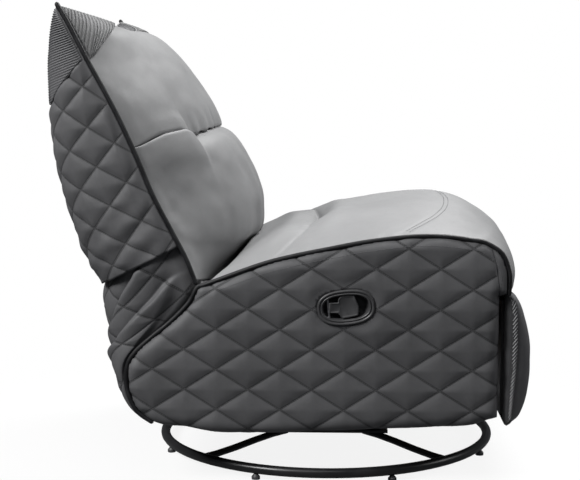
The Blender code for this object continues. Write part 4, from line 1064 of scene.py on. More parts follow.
class RECLINER_OT_back_cushions(bpy.types.Operator):
    """Lumbar and head cushions that meet in a deep crease"""
    bl_idname = "recliner.back_cushions"
    bl_label = "Back cushions"

    def execute(self, context):
        self.lumbar()
        self.head()
        return {"FINISHED"}

    def lumbar(self):
        """Lower cushion, with folds across it."""
        shares = column_shares(170)
        places = span(0.0, 1.0, 110)
        edge = Route(side_view(BACK_EDGE))(span(*LUMBAR_SPAN, 110))
        crown = creased(LUMBAR_CROWN, LUMBAR_CROWN[:-3] + LUMBAR_SEAM, shares, places)
        low, high = LUMBAR_ROUNDNESS
        points = crowned(edge, crown, shares, low + (high - low) * ease(places, *LUMBAR_ROUNDING))
        points[..., 2] -= crease_droop(shares) * ease(places, *LUMBAR_DROOP)[None]
        edge_gap = edge_distance(shares, COVER_HALF)
        folds = LUMBAR_FOLD * ripples(shares[:, None], *LUMBAR_RIPPLE, places * LUMBAR_LEAN)
        folds = folds * plateau(places, FOLD_START, FOLD_END)[None]
        soft = drift(points, *LUMBAR_DRIFT) * fade(places, *LUMBAR_DRIFT_END)[None]
        move = folds * ease(edge_gap, *FOLD_EDGE) + soft
        move = move + self.gathers(points, edge_gap, LUMBAR_GATHER, 25.0)
        move = move * calm_rim(edge_gap, places, 0.02, 0.05, 0.94)
        move = move - self.dent(1.0 - places, edge_gap)
        self.cushion("lumbar", shares, edge, points, move, tapered=False)

    def head(self):
        """Upper cushion, with pleats that rise from the crease."""
        shares = column_shares(170)
        places = span(0.0, 1.0, 120)
        points, edge = head_surface(shares, places)
        across = np.abs(shares)[:, None]
        edge_gap = edge_distance(shares, COVER_HALF)
        pleats = HEAD_PLEAT * ripples(shares[:, None], *HEAD_RIPPLE, places * HEAD_LEAN)
        pleats = pleats * plateau(places, PLEAT_START, PLEAT_END)[None]
        soft = drift(points, *HEAD_DRIFT) * ease(places, *HEAD_DRIFT_START)[None]
        move = pleats * fade(across, *PLEAT_FADE) + soft
        move = move + self.gathers(points, edge_gap, HEAD_GATHER, 45.0)
        move = move * calm_rim(edge_gap, places, 0.03, 0.06, 0.90)
        move = move - self.dent(places, edge_gap)
        self.cushion("head", shares, edge, points, move, tapered=True)

    def gathers(self, points, edge_gap, height, seed):
        """Fine gathers along the welts."""
        gathers = height * waves(points, BACK_GATHER_LENGTH, seed)
        return gathers * bell(edge_gap, BACK_GATHER_WIDTH)

    def dent(self, places, edge_gap):
        """Thread line pressed in beside the crease."""
        return CREASE_DENT * bell(places[None], CREASE_DENT_WIDTH) * ease(edge_gap, 0.0, 0.02)

    def cushion(self, name, shares, edge, points, move, tapered):
        """Cover with its relief, over the cushion of the same name."""
        points = points + outward_normals(points, INSIDE[name]) * move[..., None]
        back = back_underside(shares, edge, points, tapered)
        padded_cover(name + "_cover", grid_body(points, back), finish("light_leather"),
                     "back", "light_leather", name + "_cushion")


# Shares of the way up over which the head is drawn out into its corners
HEAD_SPREAD = (0.55, 0.97)
HEAD_PEAK = (0.76, 0.98)

# Shares of the width between which the crease's droop ends, and the seams' arch starts and ends
DROOP_END = 0.68
ARCH_START = (0.64, 0.74)
ARCH_END = (0.84, 1.0)


def head_surface(shares, places):
    """Front of the head cushion, drawn out to a point at both top corners."""
    edge = Route(side_view(BACK_EDGE))(HEAD_SPAN[0] + (HEAD_SPAN[1] - HEAD_SPAN[0]) * places)
    crown = creased(HEAD_CROWN, HEAD_SEAM + HEAD_CROWN[3:], shares, places)
    spread = (EAR_SPREAD - CUSHION_ROUNDNESS) * ease(places, *HEAD_SPREAD)
    points = crowned(edge, crown, shares, CUSHION_ROUNDNESS + spread)
    peaked = crowned(edge, crown, shares, EAR_PEAK)
    points[..., 2] += (peaked - points)[..., 2] * ease(places, *HEAD_PEAK)[None]
    points[..., 2] -= crease_droop(shares) * fade(places, 0.0, 0.50)[None]
    return points, edge


def crease_droop(shares):
    """How far the crease hangs lower towards its ends, less the arch of the seams beside it."""
    size = np.abs(shares)
    corner = CREASE_REACH[0]
    droop = CREASE_DROOP * (np.minimum(size, corner) / corner) ** 3
    droop = droop * fade(size, corner, DROOP_END)
    arch = SEAM_RISE * plateau(size, ARCH_START, ARCH_END)
    return (droop - arch)[:, None]


def creased(middle, sides, shares, places):
    """Crown lines per column: deep crease in the middle, flat seam towards both sides."""
    deep = Route(side_view(middle))(places)[None]
    flat = Route(side_view(sides))(places)[None]
    return deep + (flat - deep) * ease(np.abs(shares), *CREASE_REACH)[:, None, None]


# Quilted leather

# Where two seams of a side panel's quilt cross, from the recliner's axis, and the lattice
SIDE_NODE = (-0.170, 0.412)
LATTICE_STEPS = 22
LATTICE_MERGE = 0.0002

# The cup's oval in the side view
CUP_HALF = (0.0585, 0.0362)
CUP_DROP = 0.0030
CUP_TILT = 6.0
CUP_POWER = 0.8
CUP_OVERLAP = 0.0005


def panel_outline():
    """Closed outline of a side panel, inside its welt."""
    edge = Route(side_view(SEAT_EDGE))(span(1.0, 0.0, 120))
    rear = Route(side_view([SEAT_EDGE[0]] + SEAT_REAR))(span(0.03, 1.0, 70))
    floor = Route(side_view([SEAT_REAR[-1]] + SEAT_BOTTOM[:-1]))(span(0.02, 1.0, 70))
    front = Route(side_view(SEAT_BOTTOM[-2:]))(span(0.05, 0.99, 30))
    return np.concatenate((edge, rear, floor, front))


def cup_rim(grow, count=72):
    """Oval outline of the handle cup in the side view, grown outwards."""
    low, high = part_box("handle_cup")
    centre = np.array(((low[1] + high[1]) / 2, (low[2] + high[2]) / 2 - CUP_DROP))
    tilt = math.radians(CUP_TILT)
    along = np.array((math.cos(tilt), -math.sin(tilt)))
    rise = np.array((math.sin(tilt), math.cos(tilt)))
    turns = 2 * math.pi * np.arange(count) / count
    places = []
    for wave, half in zip((np.cos(turns), np.sin(turns)), CUP_HALF):
        places.append(np.sign(wave) * np.abs(wave) ** CUP_POWER * (half + grow))
    return centre + places[0][:, None] * along + places[1][:, None] * rise


def inside_outline(points, outline):
    """Which 2D points lie inside a closed outline."""
    result = np.zeros(len(points), bool)
    for a, b in zip(outline, np.roll(outline, -1, axis=0)):
        crosses = (a[1] > points[:, 1]) != (b[1] > points[:, 1])
        rise = b[1] - a[1] if b[1] != a[1] else TINY
        reach = a[0] + (points[:, 1] - a[1]) * (b[0] - a[0]) / rise
        result ^= crosses & (points[:, 0] < reach)
    return result


def nearest_on_outline(point, outline):
    """Closest place on a closed outline."""
    starts = outline
    steps = np.roll(outline, -1, axis=0) - starts
    squares = np.einsum("ij,ij->i", steps, steps)
    share = np.einsum("ij,ij->i", point - starts, steps) / np.maximum(squares, TINY)
    places = starts + np.clip(share, 0.0, 1.0)[:, None] * steps
    return places[np.argmin(np.linalg.norm(places - point, axis=1))]


def trimmed_panel(outline, hole):
    """Flat quilt lattice cut to an outline, and round a hole, as a bmesh of (0, y, z) points."""
    length = sizes().quilt_length / LATTICE_STEPS
    height = sizes().quilt_height / LATTICE_STEPS
    low, high = outline.min(axis=0), outline.max(axis=0)
    node = np.array((SIDE_NODE[0] + AXIS_Y, SIDE_NODE[1]))
    first = np.floor((low - node) / (length, height)).astype(int) - 1
    last = np.ceil((high - node) / (length, height)).astype(int) + 1
    columns, rows = last - first
    bm = bmesh.new()
    bmesh.ops.create_grid(bm, x_segments=int(columns), y_segments=int(rows), size=1.0)
    for v in bm.verts:
        place = ((v.co.x + 1) / 2 * columns + first[0], (v.co.y + 1) / 2 * rows + first[1])
        v.co = (0.0, node[0] + place[0] * length, node[1] + place[1] * height)
    faces = list(bm.faces)
    centres = np.array([f.calc_center_median()[1:] for f in faces])
    keep = inside_outline(centres, outline)
    if hole is not None:
        keep &= ~inside_outline(centres, hole)
    gone = [f for f, kept in zip(faces, keep) if not kept]
    bmesh.ops.delete(bm, geom=gone, context="FACES")
    for v in [v for v in bm.verts if v.is_boundary]:
        place = np.array(v.co[1:])
        snapped = nearest_on_outline(place, outline)
        if hole is not None:
            other = nearest_on_outline(place, hole)
            if np.linalg.norm(other - place) < np.linalg.norm(snapped - place):
                snapped = other
        v.co = (0.0, snapped[0], snapped[1])
    bmesh.ops.dissolve_degenerate(bm, dist=LATTICE_MERGE, edges=bm.edges)
    return bm


# How a side panel's leather stands over the panel: its base, plain strip, rolled edge and waves
PANEL_LIFT = 0.002
PLAIN_PUFF = 0.004
ROLL_DEPTH = 0.022
ROLL_WIDTH = 0.026
GUSSET_PRESS = 0.9
GUSSET_WIDTH = 0.005
GUSSET_RADIUS = 0.0010
CUP_SWELL = 0.0015
CUP_SWELL_WIDTH = 0.02
CUP_CALM = 0.030
PANEL_WAVE = (0.0020, 0.11, 31.0)
TOP_STITCH_GAP = 0.0185

# Where lines on a side panel are looked for from
PANEL_EYE_X = 0.45
GUSSET_EYE_X = 0.6


class RECLINER_OT_side_panels(bpy.types.Operator):
    """Bean-shaped quilted side panels, the right one cut for the handle cup"""
    bl_idname = "recliner.side_panels"
    bl_label = "Side panels"

    def execute(self, context):
        outline = panel_outline()
        node = (SIDE_NODE[0] + AXIS_Y, SIDE_NODE[1])
        material = quilted("quilted_side", node)
        for side, label in SIDES:
            hole = cup_rim(-CUP_OVERLAP) if side < 0 else None
            bm = trimmed_panel(outline, hole)
            made = bmesh.ops.extrude_face_region(bm, geom=bm.faces[:])["geom"]
            fronts = {g for g in made if isinstance(g, bmesh.types.BMVert)}
            verts = list(bm.verts)
            flat = np.array([v.co[1:] for v in verts])
            seam = Route(side_view(GUSSET)).points
            plain = flat[:, 0] < np.interp(flat[:, 1], seam[::-1, 1], seam[::-1, 0], left=-9.0)
            self.map_quilt(bm, node, {v for v, is_plain in zip(verts, plain) if is_plain})
            puff = np.where(plain, PLAIN_PUFF, quilt_height(flat[:, 0], flat[:, 1], node))
            relief = self.relief(flat, puff, seam, outline, hole, side)
            for v, height in zip(verts, relief):
                v.co.x = side * (PANEL_FACE + height if v in fronts else PANEL_INNER + FIT)
            piece = padded_cover("side_panel_cover_" + label, bm, material,
                                 "seat", "dark_leather", "side_panel_" + label)
            self.top_stitch(piece, side, label)
            self.gusset_seam(piece, side, label)
        return {"FINISHED"}

    def map_quilt(self, bm, node, plain):
        """Quilt map of a panel; a plain strip gets a place where no seam runs."""
        layer = bm.loops.layers.uv.new("quilt")
        blank = (node[0] + sizes().quilt_length / 2, node[1])
        for face in bm.faces:
            unlined = any(v in plain for v in face.verts)
            for loop in face.loops:
                loop[layer].uv = blank if unlined else loop.vert.co[1:]

    def relief(self, flat, puff, seam, outline, hole, side):
        """Height of the leather over the panel's face, less its roll towards the welt."""
        gap = path_distance(flat, np.concatenate((outline, outline[:1])))
        puff = puff * (1.0 - GUSSET_PRESS * bell(path_distance(flat, seam), GUSSET_WIDTH))
        if hole is not None:
            rim = path_distance(flat, np.concatenate((hole, hole[:1])))
            puff = puff * ease(rim, 0.0, CUP_CALM) + CUP_SWELL * bell(rim, CUP_SWELL_WIDTH)
        arc = np.sqrt(np.clip(1.0 - (1.0 - gap / ROLL_WIDTH) ** 2, 0.0, 1.0))
        roll = np.where(gap > ROLL_WIDTH, 0.0, ROLL_DEPTH * (1.0 - arc))
        grid = np.column_stack((np.zeros(len(flat)), flat))
        height, wavelength, seed = PANEL_WAVE
        return PANEL_LIFT + puff + drift(grid[None], (height, wavelength, seed + side))[0] - roll

    def gusset_seam(self, piece, side, label):
        """Dark cord of painted groove shade along the seam behind the plain strip at a panel's
        front.
        """
        tree = surface_of(piece)
        line = []
        for y, z in Route(side_view(GUSSET))(span(0.0, 1.0, 40)):
            eye = Vector((side * GUSSET_EYE_X, y, z))
            hit = tree.ray_cast(eye, Vector((-side, 0.0, 0.0)), LOOK_REACH)[0]
            if hit is not None:
                line.append(hit)
        shaded_groove_cord("gusset_seam_" + label, line, GUSSET_RADIUS, "seat")

    def top_stitch(self, piece, side, label):
        """Thin stitch line just inside the welt along the top and down the front."""
        edge = Route(side_view(SEAT_EDGE))(span(0.03, 0.985, 150))
        line = edge + beside(edge) * TOP_STITCH_GAP
        path = [(side * PANEL_EYE_X, y, z) for y, z in line]
        row = stitch_row("side_stitch_" + label, surface_of(piece), path, (-side, 0.0, 0.0),
                         finish("grey_thread"))
        settle(row, "seat", "piping")


# The back shell: its gap behind the welt, how its rows spread, and where its ears and roof end
SHELL_GAP = 0.0052
SHELL_ROW_POWER = 1.08
EAR_START = (0.12, 0.48)
ROOF_FADE = (0.045, 0.011)
ROOF_FADE_REACH = (0.50, 0.90)


def shell_points(shares, places):
    """Outer skin of the back: its sides, rear and roof."""
    way = SHELL_SPAN[0] + (SHELL_SPAN[1] - SHELL_SPAN[0]) * places ** SHELL_ROW_POWER
    edge = Route(side_view(BACK_EDGE))(way) + BEHIND * SHELL_GAP
    size = np.abs(shares)
    middle = Route(side_view(SHELL_REAR))(places)[None]
    ear = Route(side_view(SHELL_EAR + SHELL_REAR[5:]))(places)[None]
    rear = middle + (ear - middle) * ease(size, *EAR_START)[:, None, None]
    section = Route(SHELL_SECTION)(1.0 - size)[:, (0, 1, 1)]
    depth = ROOF_FADE[0] + (ROOF_FADE[1] - ROOF_FADE[0]) * ease(size, *ROOF_FADE_REACH)
    share = fade(places[None] / depth[:, None], 0.0, 1.0)[..., None]
    roof = np.stack((size, 1.0 - size ** EAR_SPREAD, 1.0 - size ** EAR_PEAK), 1)
    shape = section[:, None] * (1.0 - share) + roof[:, None] * share
    rear = rear * (1.0 - share) + middle * share
    side = edge[None] + (rear - edge[None]) * shape[..., 1:]
    x = shape[..., :1] * PIPING_X * np.where(shares < 0, -1.0, 1.0)[:, None, None]
    return np.concatenate((x, side), axis=2)


def girth_map(points):
    """Distances from the middle column along each row, and down each column from the top."""
    along = travelled(points)
    middle = points.shape[0] // 2
    girth = along - along[middle][None]
    return girth, np.broadcast_to(travelled(points[middle])[None], girth.shape)


# The shell's quilt map: its rise along y and z, a node of its seams and its stretch round the back
SHELL_RISE = (0.176, 1.004)
SHELL_NODE = (0.0, 0.7816)
SHELL_STRETCH = 1.316

# Soft waves, ripples towards the hem and thickness of the shell's leather
SHELL_WAVE = (0.0026, 0.14, 51.0)
HEM_RIPPLE = 0.0012
HEM_RIPPLE_RATE = 120.0
HEM_SLANT = 0.35
HEM_START = (0.40, 0.58)
SHELL_WALL = (0.0005, 0.0065)
SHELL_CALM = 0.022
SHELL_TOP_CALM = 0.02

# Slanting lower seam of the corner patches: its depth, slope and width
PATCH_DEPTH = 0.150
PATCH_SLOPE = 0.60
PATCH_FADE = 0.004
PATCH_REACH = (0.17, 0.20)


class RECLINER_OT_back_shell(bpy.types.Operator):
    """Quilted outer shell of the back, smooth where the ribbed patches lie on it"""
    bl_idname = "recliner.back_shell"
    bl_label = "Back shell"

    def execute(self, context):
        points = shell_points(np.linspace(-1.0, 1.0, 241), span(0.0, 1.0, 120))
        normals = outward_normals(points, INSIDE["shell"])
        girth, depth = girth_map(points)
        edge_gap = girth.max(axis=0)[None] - np.abs(girth)
        rise = (points[..., 1] - AXIS_Y) * SHELL_RISE[0] + points[..., 2] * SHELL_RISE[1]
        puff = quilt_height(girth * SHELL_STRETCH, rise, SHELL_NODE)
        rim = ease(edge_gap, 0.0, SHELL_CALM) * ease(depth, 0.0, SHELL_TOP_CALM)
        ripple = np.sin((depth + np.abs(girth) * HEM_SLANT) * HEM_RIPPLE_RATE)
        ripple = HEM_RIPPLE * ripple * ease(depth, *HEM_START)
        puff = puff * (1.0 - corner_share(depth, edge_gap))
        move = (puff + drift(points, SHELL_WAVE) + ripple) * rim
        points = points + normals * move[..., None]
        inside = ease(np.minimum(edge_gap, depth + 0.002), 0.0, SHELL_TOP_CALM)
        back = points - normals * (SHELL_WALL[0] + SHELL_WALL[1] * inside)[..., None]
        uv = np.stack((girth * SHELL_STRETCH, rise), 2)
        padded_cover("back_shell_cover", grid_body(points, back, uv),
                     quilted("quilted_shell", SHELL_NODE), "back", "dark_leather", "back_shell")
        return {"FINISHED"}


def corner_share(depth, edge_gap):
    """1 under the ribbed corner patches of the shell, 0 below their slanting seam."""
    seam = PATCH_DEPTH + edge_gap * PATCH_SLOPE
    over = fade(depth, seam - PATCH_FADE, seam + PATCH_FADE)
    return over * fade(edge_gap, *PATCH_REACH)


# Columns of a front patch from the tip inwards: place in the row, share across the head at its
# top edge, then share across and share up the head at its foot
EAR_ROWS = np.array([
    (0.000, 0.995, 0.995, 0.985), (0.049, 0.978, 0.995, 0.960), (0.087, 0.965, 0.995, 0.922),
    (0.146, 0.948, 0.995, 0.883), (0.243, 0.915, 0.995, 0.815), (0.340, 0.880, 0.995, 0.750),
    (0.437, 0.843, 0.995, 0.685), (0.534, 0.800, 0.995, 0.615), (0.631, 0.750, 0.980, 0.628),
    (0.738, 0.685, 0.953, 0.647), (0.835, 0.618, 0.917, 0.685), (0.913, 0.550, 0.873, 0.735),
    (0.963, 0.500, 0.825, 0.785), (0.983, 0.478, 0.780, 0.830), (0.992, 0.470, 0.660, 0.910),
    (1.000, 0.455, 0.470, 0.985)])

# Where a front patch's sewn arc runs along its row and how it is shifted, its ribs and its top
EAR_SEWN = (0.534, 0.985)
EAR_SEAM_SHIFT = np.array((0.0, -0.0012, 0.0010))
EAR_RIBS = 17
EAR_RIB_POWER = 0.6
EAR_TOP = 0.993
HEAD_STEPS = 200

# Height of a patch over the leather, height of its ribs and its thickness below
FRONT_LIFT = 0.0014
FRONT_RIB = 0.0028
FRONT_WALL = 0.0022
SIDE_LIFT = 0.0014
SIDE_RIB = 0.0030
SIDE_TUCK = 0.0006
SIDE_WALL = 0.0050
SIDE_SEAM_LIFT = 0.0018
SEAM_RADIUS = 0.0011

# A side patch: its reach behind the welt, its start and stop as shares of the shell's rows
PATCH_RIBS = 112.0
SIDE_REACH = (0.0030, 0.195)
SIDE_START = 0.010
SIDE_STOP = 0.245
SIDE_SLOPE = 0.90
SIDE_ROUND = 0.11
SIDE_ROUND_LENGTH = 0.088
SIDE_LEAST = 0.16


class RECLINER_OT_corner_patches(bpy.types.Operator):
    """Ribbed patches on the front and the side of both top corners"""
    bl_idname = "recliner.corner_patches"
    bl_label = "Corner patches"

    def execute(self, context):
        for side, label in SIDES:
            self.front_patch(side, label)
            self.side_patch(side, label)
        return {"FINISHED"}

    def front_patch(self, side, label):
        """Light patch between the welt, the top edge and an arc; its ribs run down."""
        across, down = span(0.0, 1.0, 260), span(0.0, 1.0, 44)
        top_u, low_u, low_v = (np.interp(across, EAR_ROWS[:, 0], EAR_ROWS[:, k]) for k in (1, 2, 3))
        top = np.stack((top_u, np.full(len(across), EAR_TOP)), 1)
        low = np.stack((low_u, low_v), 1)
        place = top[:, None] + (low - top)[:, None] * down[None, :, None]
        points = self.on_head(place[..., 0], place[..., 1], side)
        normals = outward_normals(points, INSIDE["head"])
        ribs = np.abs(np.sin(across * math.pi * EAR_RIBS))[:, None] ** EAR_RIB_POWER
        rim = plateau(down, (0.0, 0.06), (0.94, 1.0))
        rim = rim[None] * plateau(across, (0.01, 0.05), (0.95, 0.99))[:, None]
        front = points + normals * (FRONT_LIFT + FRONT_RIB * ribs * rim)[..., None]
        # The front patch takes the light leather with painted shade.
        piece = finish_mesh("corner_patch_front_" + label,
                            grid_body(front, points - normals * FRONT_WALL), finish("ribbed_light"))
        settle(piece, "back", "light_leather")
        sewn = (across > EAR_SEWN[0]) & (across < EAR_SEWN[1])
        arc = self.on_head(low_u[None], low_v[None], side)[0][sewn]
        # Dark cord of painted shade along the patch's sewn arc.
        shaded_groove_cord("corner_seam_" + label, arc + EAR_SEAM_SHIFT, SEAM_RADIUS, "back")

    def on_head(self, u, v, side):
        """Points of the head cushion at shares across and up it, on the side given."""
        steps = np.linspace(0.0, 1.0, HEAD_STEPS + 1)
        grid, _ = head_surface(steps, steps)
        i, j = np.clip(u, 0.0, 1.0) * HEAD_STEPS, np.clip(v, 0.0, 1.0) * HEAD_STEPS
        a = np.minimum(i.astype(int), HEAD_STEPS - 1)
        b = np.minimum(j.astype(int), HEAD_STEPS - 1)
        s, t = (i - a)[..., None], (j - b)[..., None]
        points = (grid[a, b] * (1 - s) * (1 - t) + grid[a + 1, b] * s * (1 - t)
                  + grid[a, b + 1] * (1 - s) * t + grid[a + 1, b + 1] * s * t)
        points[..., 0] *= side
        return points

    def side_patch(self, side, label):
        """Dark patch behind the welt; its ribs run from the welt to the rear."""
        reach, down = span(*SIDE_REACH, 60), span(0.0, 1.0, 330)
        points, at = self.side_grid(reach, down)
        points[..., 0] *= side
        normals = outward_normals(points, INSIDE["ear"])
        rim = plateau(down, (0.0, 0.02), (0.98, 1.0))
        rim = rim[None] * plateau(reach, (0.003, 0.012), (0.185, 0.195))[:, None]
        ribs = np.abs(np.sin(at * math.pi * PATCH_RIBS))
        lift = SIDE_LIFT - SIDE_TUCK + (SIDE_TUCK + SIDE_RIB * ribs) * rim
        front = points + normals * lift[..., None]
        # The side patch takes the dark leather with painted light.
        piece = finish_mesh("corner_patch_side_" + label,
                            grid_body(front, points - normals * SIDE_WALL), finish("ribbed_dark"))
        settle(piece, "back", "dark_leather")
        line = front[3:-3, -1] + normals[3:-3, -1] * SIDE_SEAM_LIFT
        # Dark cord of painted shade along the patch's lower seam.
        shaded_groove_cord("patch_seam_" + label, line, SEAM_RADIUS, "back")

    def side_grid(self, reach, down):
        """Points of the shell at distances behind the welt, and their shares of its rows."""
        rows = np.linspace(0.0, 0.45, 181)
        grid = shell_points(np.linspace(0.0, 1.0, 401), rows)
        girth = travelled(grid)
        gap = girth[-1][None] - girth
        lines = np.zeros((len(reach), len(rows), 3))
        for row in range(len(rows)):
            order = np.argsort(gap[:, row])
            for k in range(3):
                lines[:, row, k] = np.interp(reach, gap[order, row], grid[order, row, k])
        bend = np.maximum(reach - SIDE_ROUND, 0.0) / SIDE_ROUND_LENGTH
        shrink = np.maximum(np.sqrt(np.clip(1.0 - bend ** 2, 0.0, 1.0)), SIDE_LEAST)
        stop = (SIDE_STOP + SIDE_SLOPE * reach) * shrink
        at = SIDE_START + (stop[:, None] - SIDE_START) * down[None]
        points = np.zeros((*at.shape, 3))
        for column, line in enumerate(lines):
            for k in range(3):
                points[column, :, k] = np.interp(at[column], rows, line[:, k])
        return points, at


# Lower back cover

# Quilting of the lower cover, its waves and thickness, and the roundness of its loop
COVER_PUFF = 0.6
COVER_WAVE = (0.0025, 0.09, 61.0)
COVER_WALL = 0.0035
COVER_POWER = 0.45

# Where the folds are drawn: from the middle outwards in metres, down the cover and at its edges
FOLD_OUT = (0.20, 0.35)
FOLD_TOP = (0.0, 0.10)
FOLD_FOOT = (0.60, 0.86)
FOLD_CALM = 0.04
PUFF_CALM = 0.05

# A fold: how fast it rises from its valley, how it falls off on both sides, and its valley
FOLD_RISE = 0.004
FOLD_FRONT = 0.030
FOLD_BEHIND = 0.011
FOLD_VALLEY = 0.40


class RECLINER_OT_lower_cover(bpy.types.Operator):
    """Quilted cover that hangs from the shell in deep diagonal folds"""
    bl_idname = "recliner.lower_cover"
    bl_label = "Lower back cover"

    def execute(self, context):
        shares = np.linspace(-1.0, 1.0, 301)
        places = span(0.0, 1.0, 130)
        points = self.surface(shares, places)
        normals = outward_normals(points, INSIDE["lower_cover"])
        flat = points[..., 1:] - np.array((AXIS_Y, 0.0))
        size = np.abs(points[..., 0])
        reach = edge_distance(shares, 1.0)
        strength = ease(size, *FOLD_OUT) * plateau(places, FOLD_TOP, FOLD_FOOT)[None]
        strength = strength * ease(reach, 0.0, FOLD_CALM)
        fold = sum(self.fold_height(flat, line) for line in FOLDS) * strength
        girth, depth = girth_map(points)
        puff = COVER_PUFF * quilt_height(girth, depth) * ease(reach, 0.0, PUFF_CALM)
        move = fold + puff + drift(points, COVER_WAVE)
        points = points + normals * move[..., None]
        uv = np.stack((girth, depth), 2)
        piece = finish_mesh("lower_cover", grid_body(points, points - normals * COVER_WALL, uv),
                            finish("quilted_leather"))
        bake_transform(piece)
        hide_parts("lower_back_cover")
        return {"FINISHED"}

    def fold_height(self, flat, valley):
        """Step up in front of a valley that falls off again towards the front."""
        line = Route(valley).points
        gap = path_distance(flat.reshape(-1, 2), line).reshape(flat.shape[:2])
        ahead = flat[..., 0] < np.interp(flat[..., 1], line[::-1, 1], line[::-1, 0])
        near = np.exp(-gap / FOLD_RISE)
        front = (1.0 - near) * np.exp(-gap / FOLD_FRONT) - FOLD_VALLEY * near
        return FOLD_HEIGHT * np.where(ahead, front, -FOLD_VALLEY * np.exp(-gap / FOLD_BEHIND))

    def surface(self, shares, places):
        """Boxy half loop round the rear at every height."""
        front = Route(side_view(COVER_FRONT))(places)
        rear = Route(side_view(COVER_REAR))(places)
        turn = (shares + 1.0) * math.pi / 2
        wide = -np.sign(np.cos(turn)) * np.abs(np.cos(turn)) ** COVER_POWER
        deep = np.abs(np.sin(turn)) ** COVER_POWER
        side = front[None] + (rear - front)[None] * deep[:, None, None]
        return with_width(wide * COVER_WIDTH * COVER_HALF, side)


# Side view of the cloth tucked between the seat and the back, in the middle and over the boards
TUCK_MIDDLE = [
    (0.1700, 0.4060), (0.1950, 0.3990), (0.2150, 0.3960), (0.2350, 0.3960), (0.2580, 0.4020),
    (0.2750, 0.4200), (0.2950, 0.4600)]
TUCK_SIDES = [
    (0.1700, 0.4420), (0.2000, 0.4300), (0.2250, 0.4195), (0.2420, 0.4155), (0.2560, 0.4190),
    (0.2680, 0.4420), (0.2780, 0.4680)]
TUCK_WIDTH = 0.985
TUCK_BOARD = (0.79, 0.825)
TUCK_SKIRT = 0.085
TUCK_SKIRT_REACH = (0.90, 0.97)
TUCK_WAVE = (0.0015, 0.05, 91.0)
TUCK_WALL = 0.0015


class RECLINER_OT_tuck_in(bpy.types.Operator):
    """Cloth between the seat and the back"""
    bl_idname = "recliner.tuck_in"
    bl_label = "Tuck-in cloth"

    def execute(self, context):
        shares = np.linspace(-1.0, 1.0, 161)
        places = span(0.0, 1.0, 40)
        middle = Route(side_view(TUCK_MIDDLE))(places)[None]
        sides = Route(side_view(TUCK_SIDES))(places)[None]
        side = middle + (sides - middle) * ease(np.abs(shares), *TUCK_BOARD)[:, None, None]
        side[..., 1] -= TUCK_SKIRT * ease(np.abs(shares), *TUCK_SKIRT_REACH)[:, None]
        points = with_width(shares * TUCK_WIDTH * COVER_HALF, side)
        normals = outward_normals(points, INSIDE["tuck"])
        points = points + normals * drift(points, TUCK_WAVE)[..., None]
        piece = finish_mesh("tuck_in_cloth", grid_body(points, points - normals * TUCK_WALL),
                            finish("dark_leather"))
        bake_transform(piece)
        return {"FINISHED"}


# Welts

class RECLINER_OT_piping(bpy.types.Operator):
    """Black welts along the seat, the side panels and the back"""
    bl_idname = "recliner.piping"
    bl_label = "Piping"

    def execute(self, context):
        seat = Route(side_view(list(reversed(SEAT_EDGE)) + SEAT_REAR))(span(0.0, 1.0, 420))
        back = Route(side_view(BACK_EDGE))(span(0.0, 1.0, 300))
        radius = sizes().piping_radius
        for side, label in SIDES:
            for name, body, line in (("seat_piping_", "seat", seat), ("back_piping_", "back", back)):
                path = [(side * PIPING_X, y, z) for y, z in line]
                cord = tube(name + "cord_" + label, [path], radius, finish("piping"), tips=True)
                settle(cord, body, "piping", name + label)
        return {"FINISHED"}


# Footrest

def rounded_rectangle(half, low, high, radius, pitch):
    """Outline of (x, z) pairs in a plane, with round corners, and the distance travelled."""
    corners = [(half - radius, high - radius, 0), (-half + radius, high - radius, 90),
               (-half + radius, low + radius, 180), (half - radius, low + radius, 270)]
    outline = []
    for x, z, start in corners:
        for k in range(9):
            a = math.radians(start + 90 * k / 8)
            outline.append((x + radius * math.cos(a), z + radius * math.sin(a)))
    points = np.array(outline + outline[:1])
    travel = travelled(points)
    at = np.linspace(0.0, travel[-1], int(travel[-1] / pitch))[:-1]
    return np.stack([np.interp(at, travel, points[:, k]) for k in range(2)], 1), at


# The footrest's crown towards its sides, its gap inside the band and its soft waves
PAD_CROWN_POWERS = (14, 0.6)
PAD_INSET = 0.0012
PAD_DRIFT = ((0.0030, 0.16, 71.0), (0.0008, 0.04, 75.0))

# The band: corner radius, sampling pitch, section, slant, pitch and height of its ribs
BAND_RADIUS = 0.008
BAND_PITCH = 0.0016
BAND_LIFT = 0.0008
BAND_BULGE = 0.0024
BAND_TUCK = 0.0060
BAND_SLANT = 0.55
BAND_RIB_PITCH = 0.0052
BAND_RIB = 0.0024
BAND_WALL = 0.0075
BAND_LOOPS = 12

# Whip stitches: shares of the band between which they run, columns apart and across, and sizes
WHIP_SHARES = (0.62, 0.96)
WHIP_STEP = 5
WHIP_ACROSS = 8
WHIP_LIFT = 0.0012
WHIP_RADIUS = 0.0014


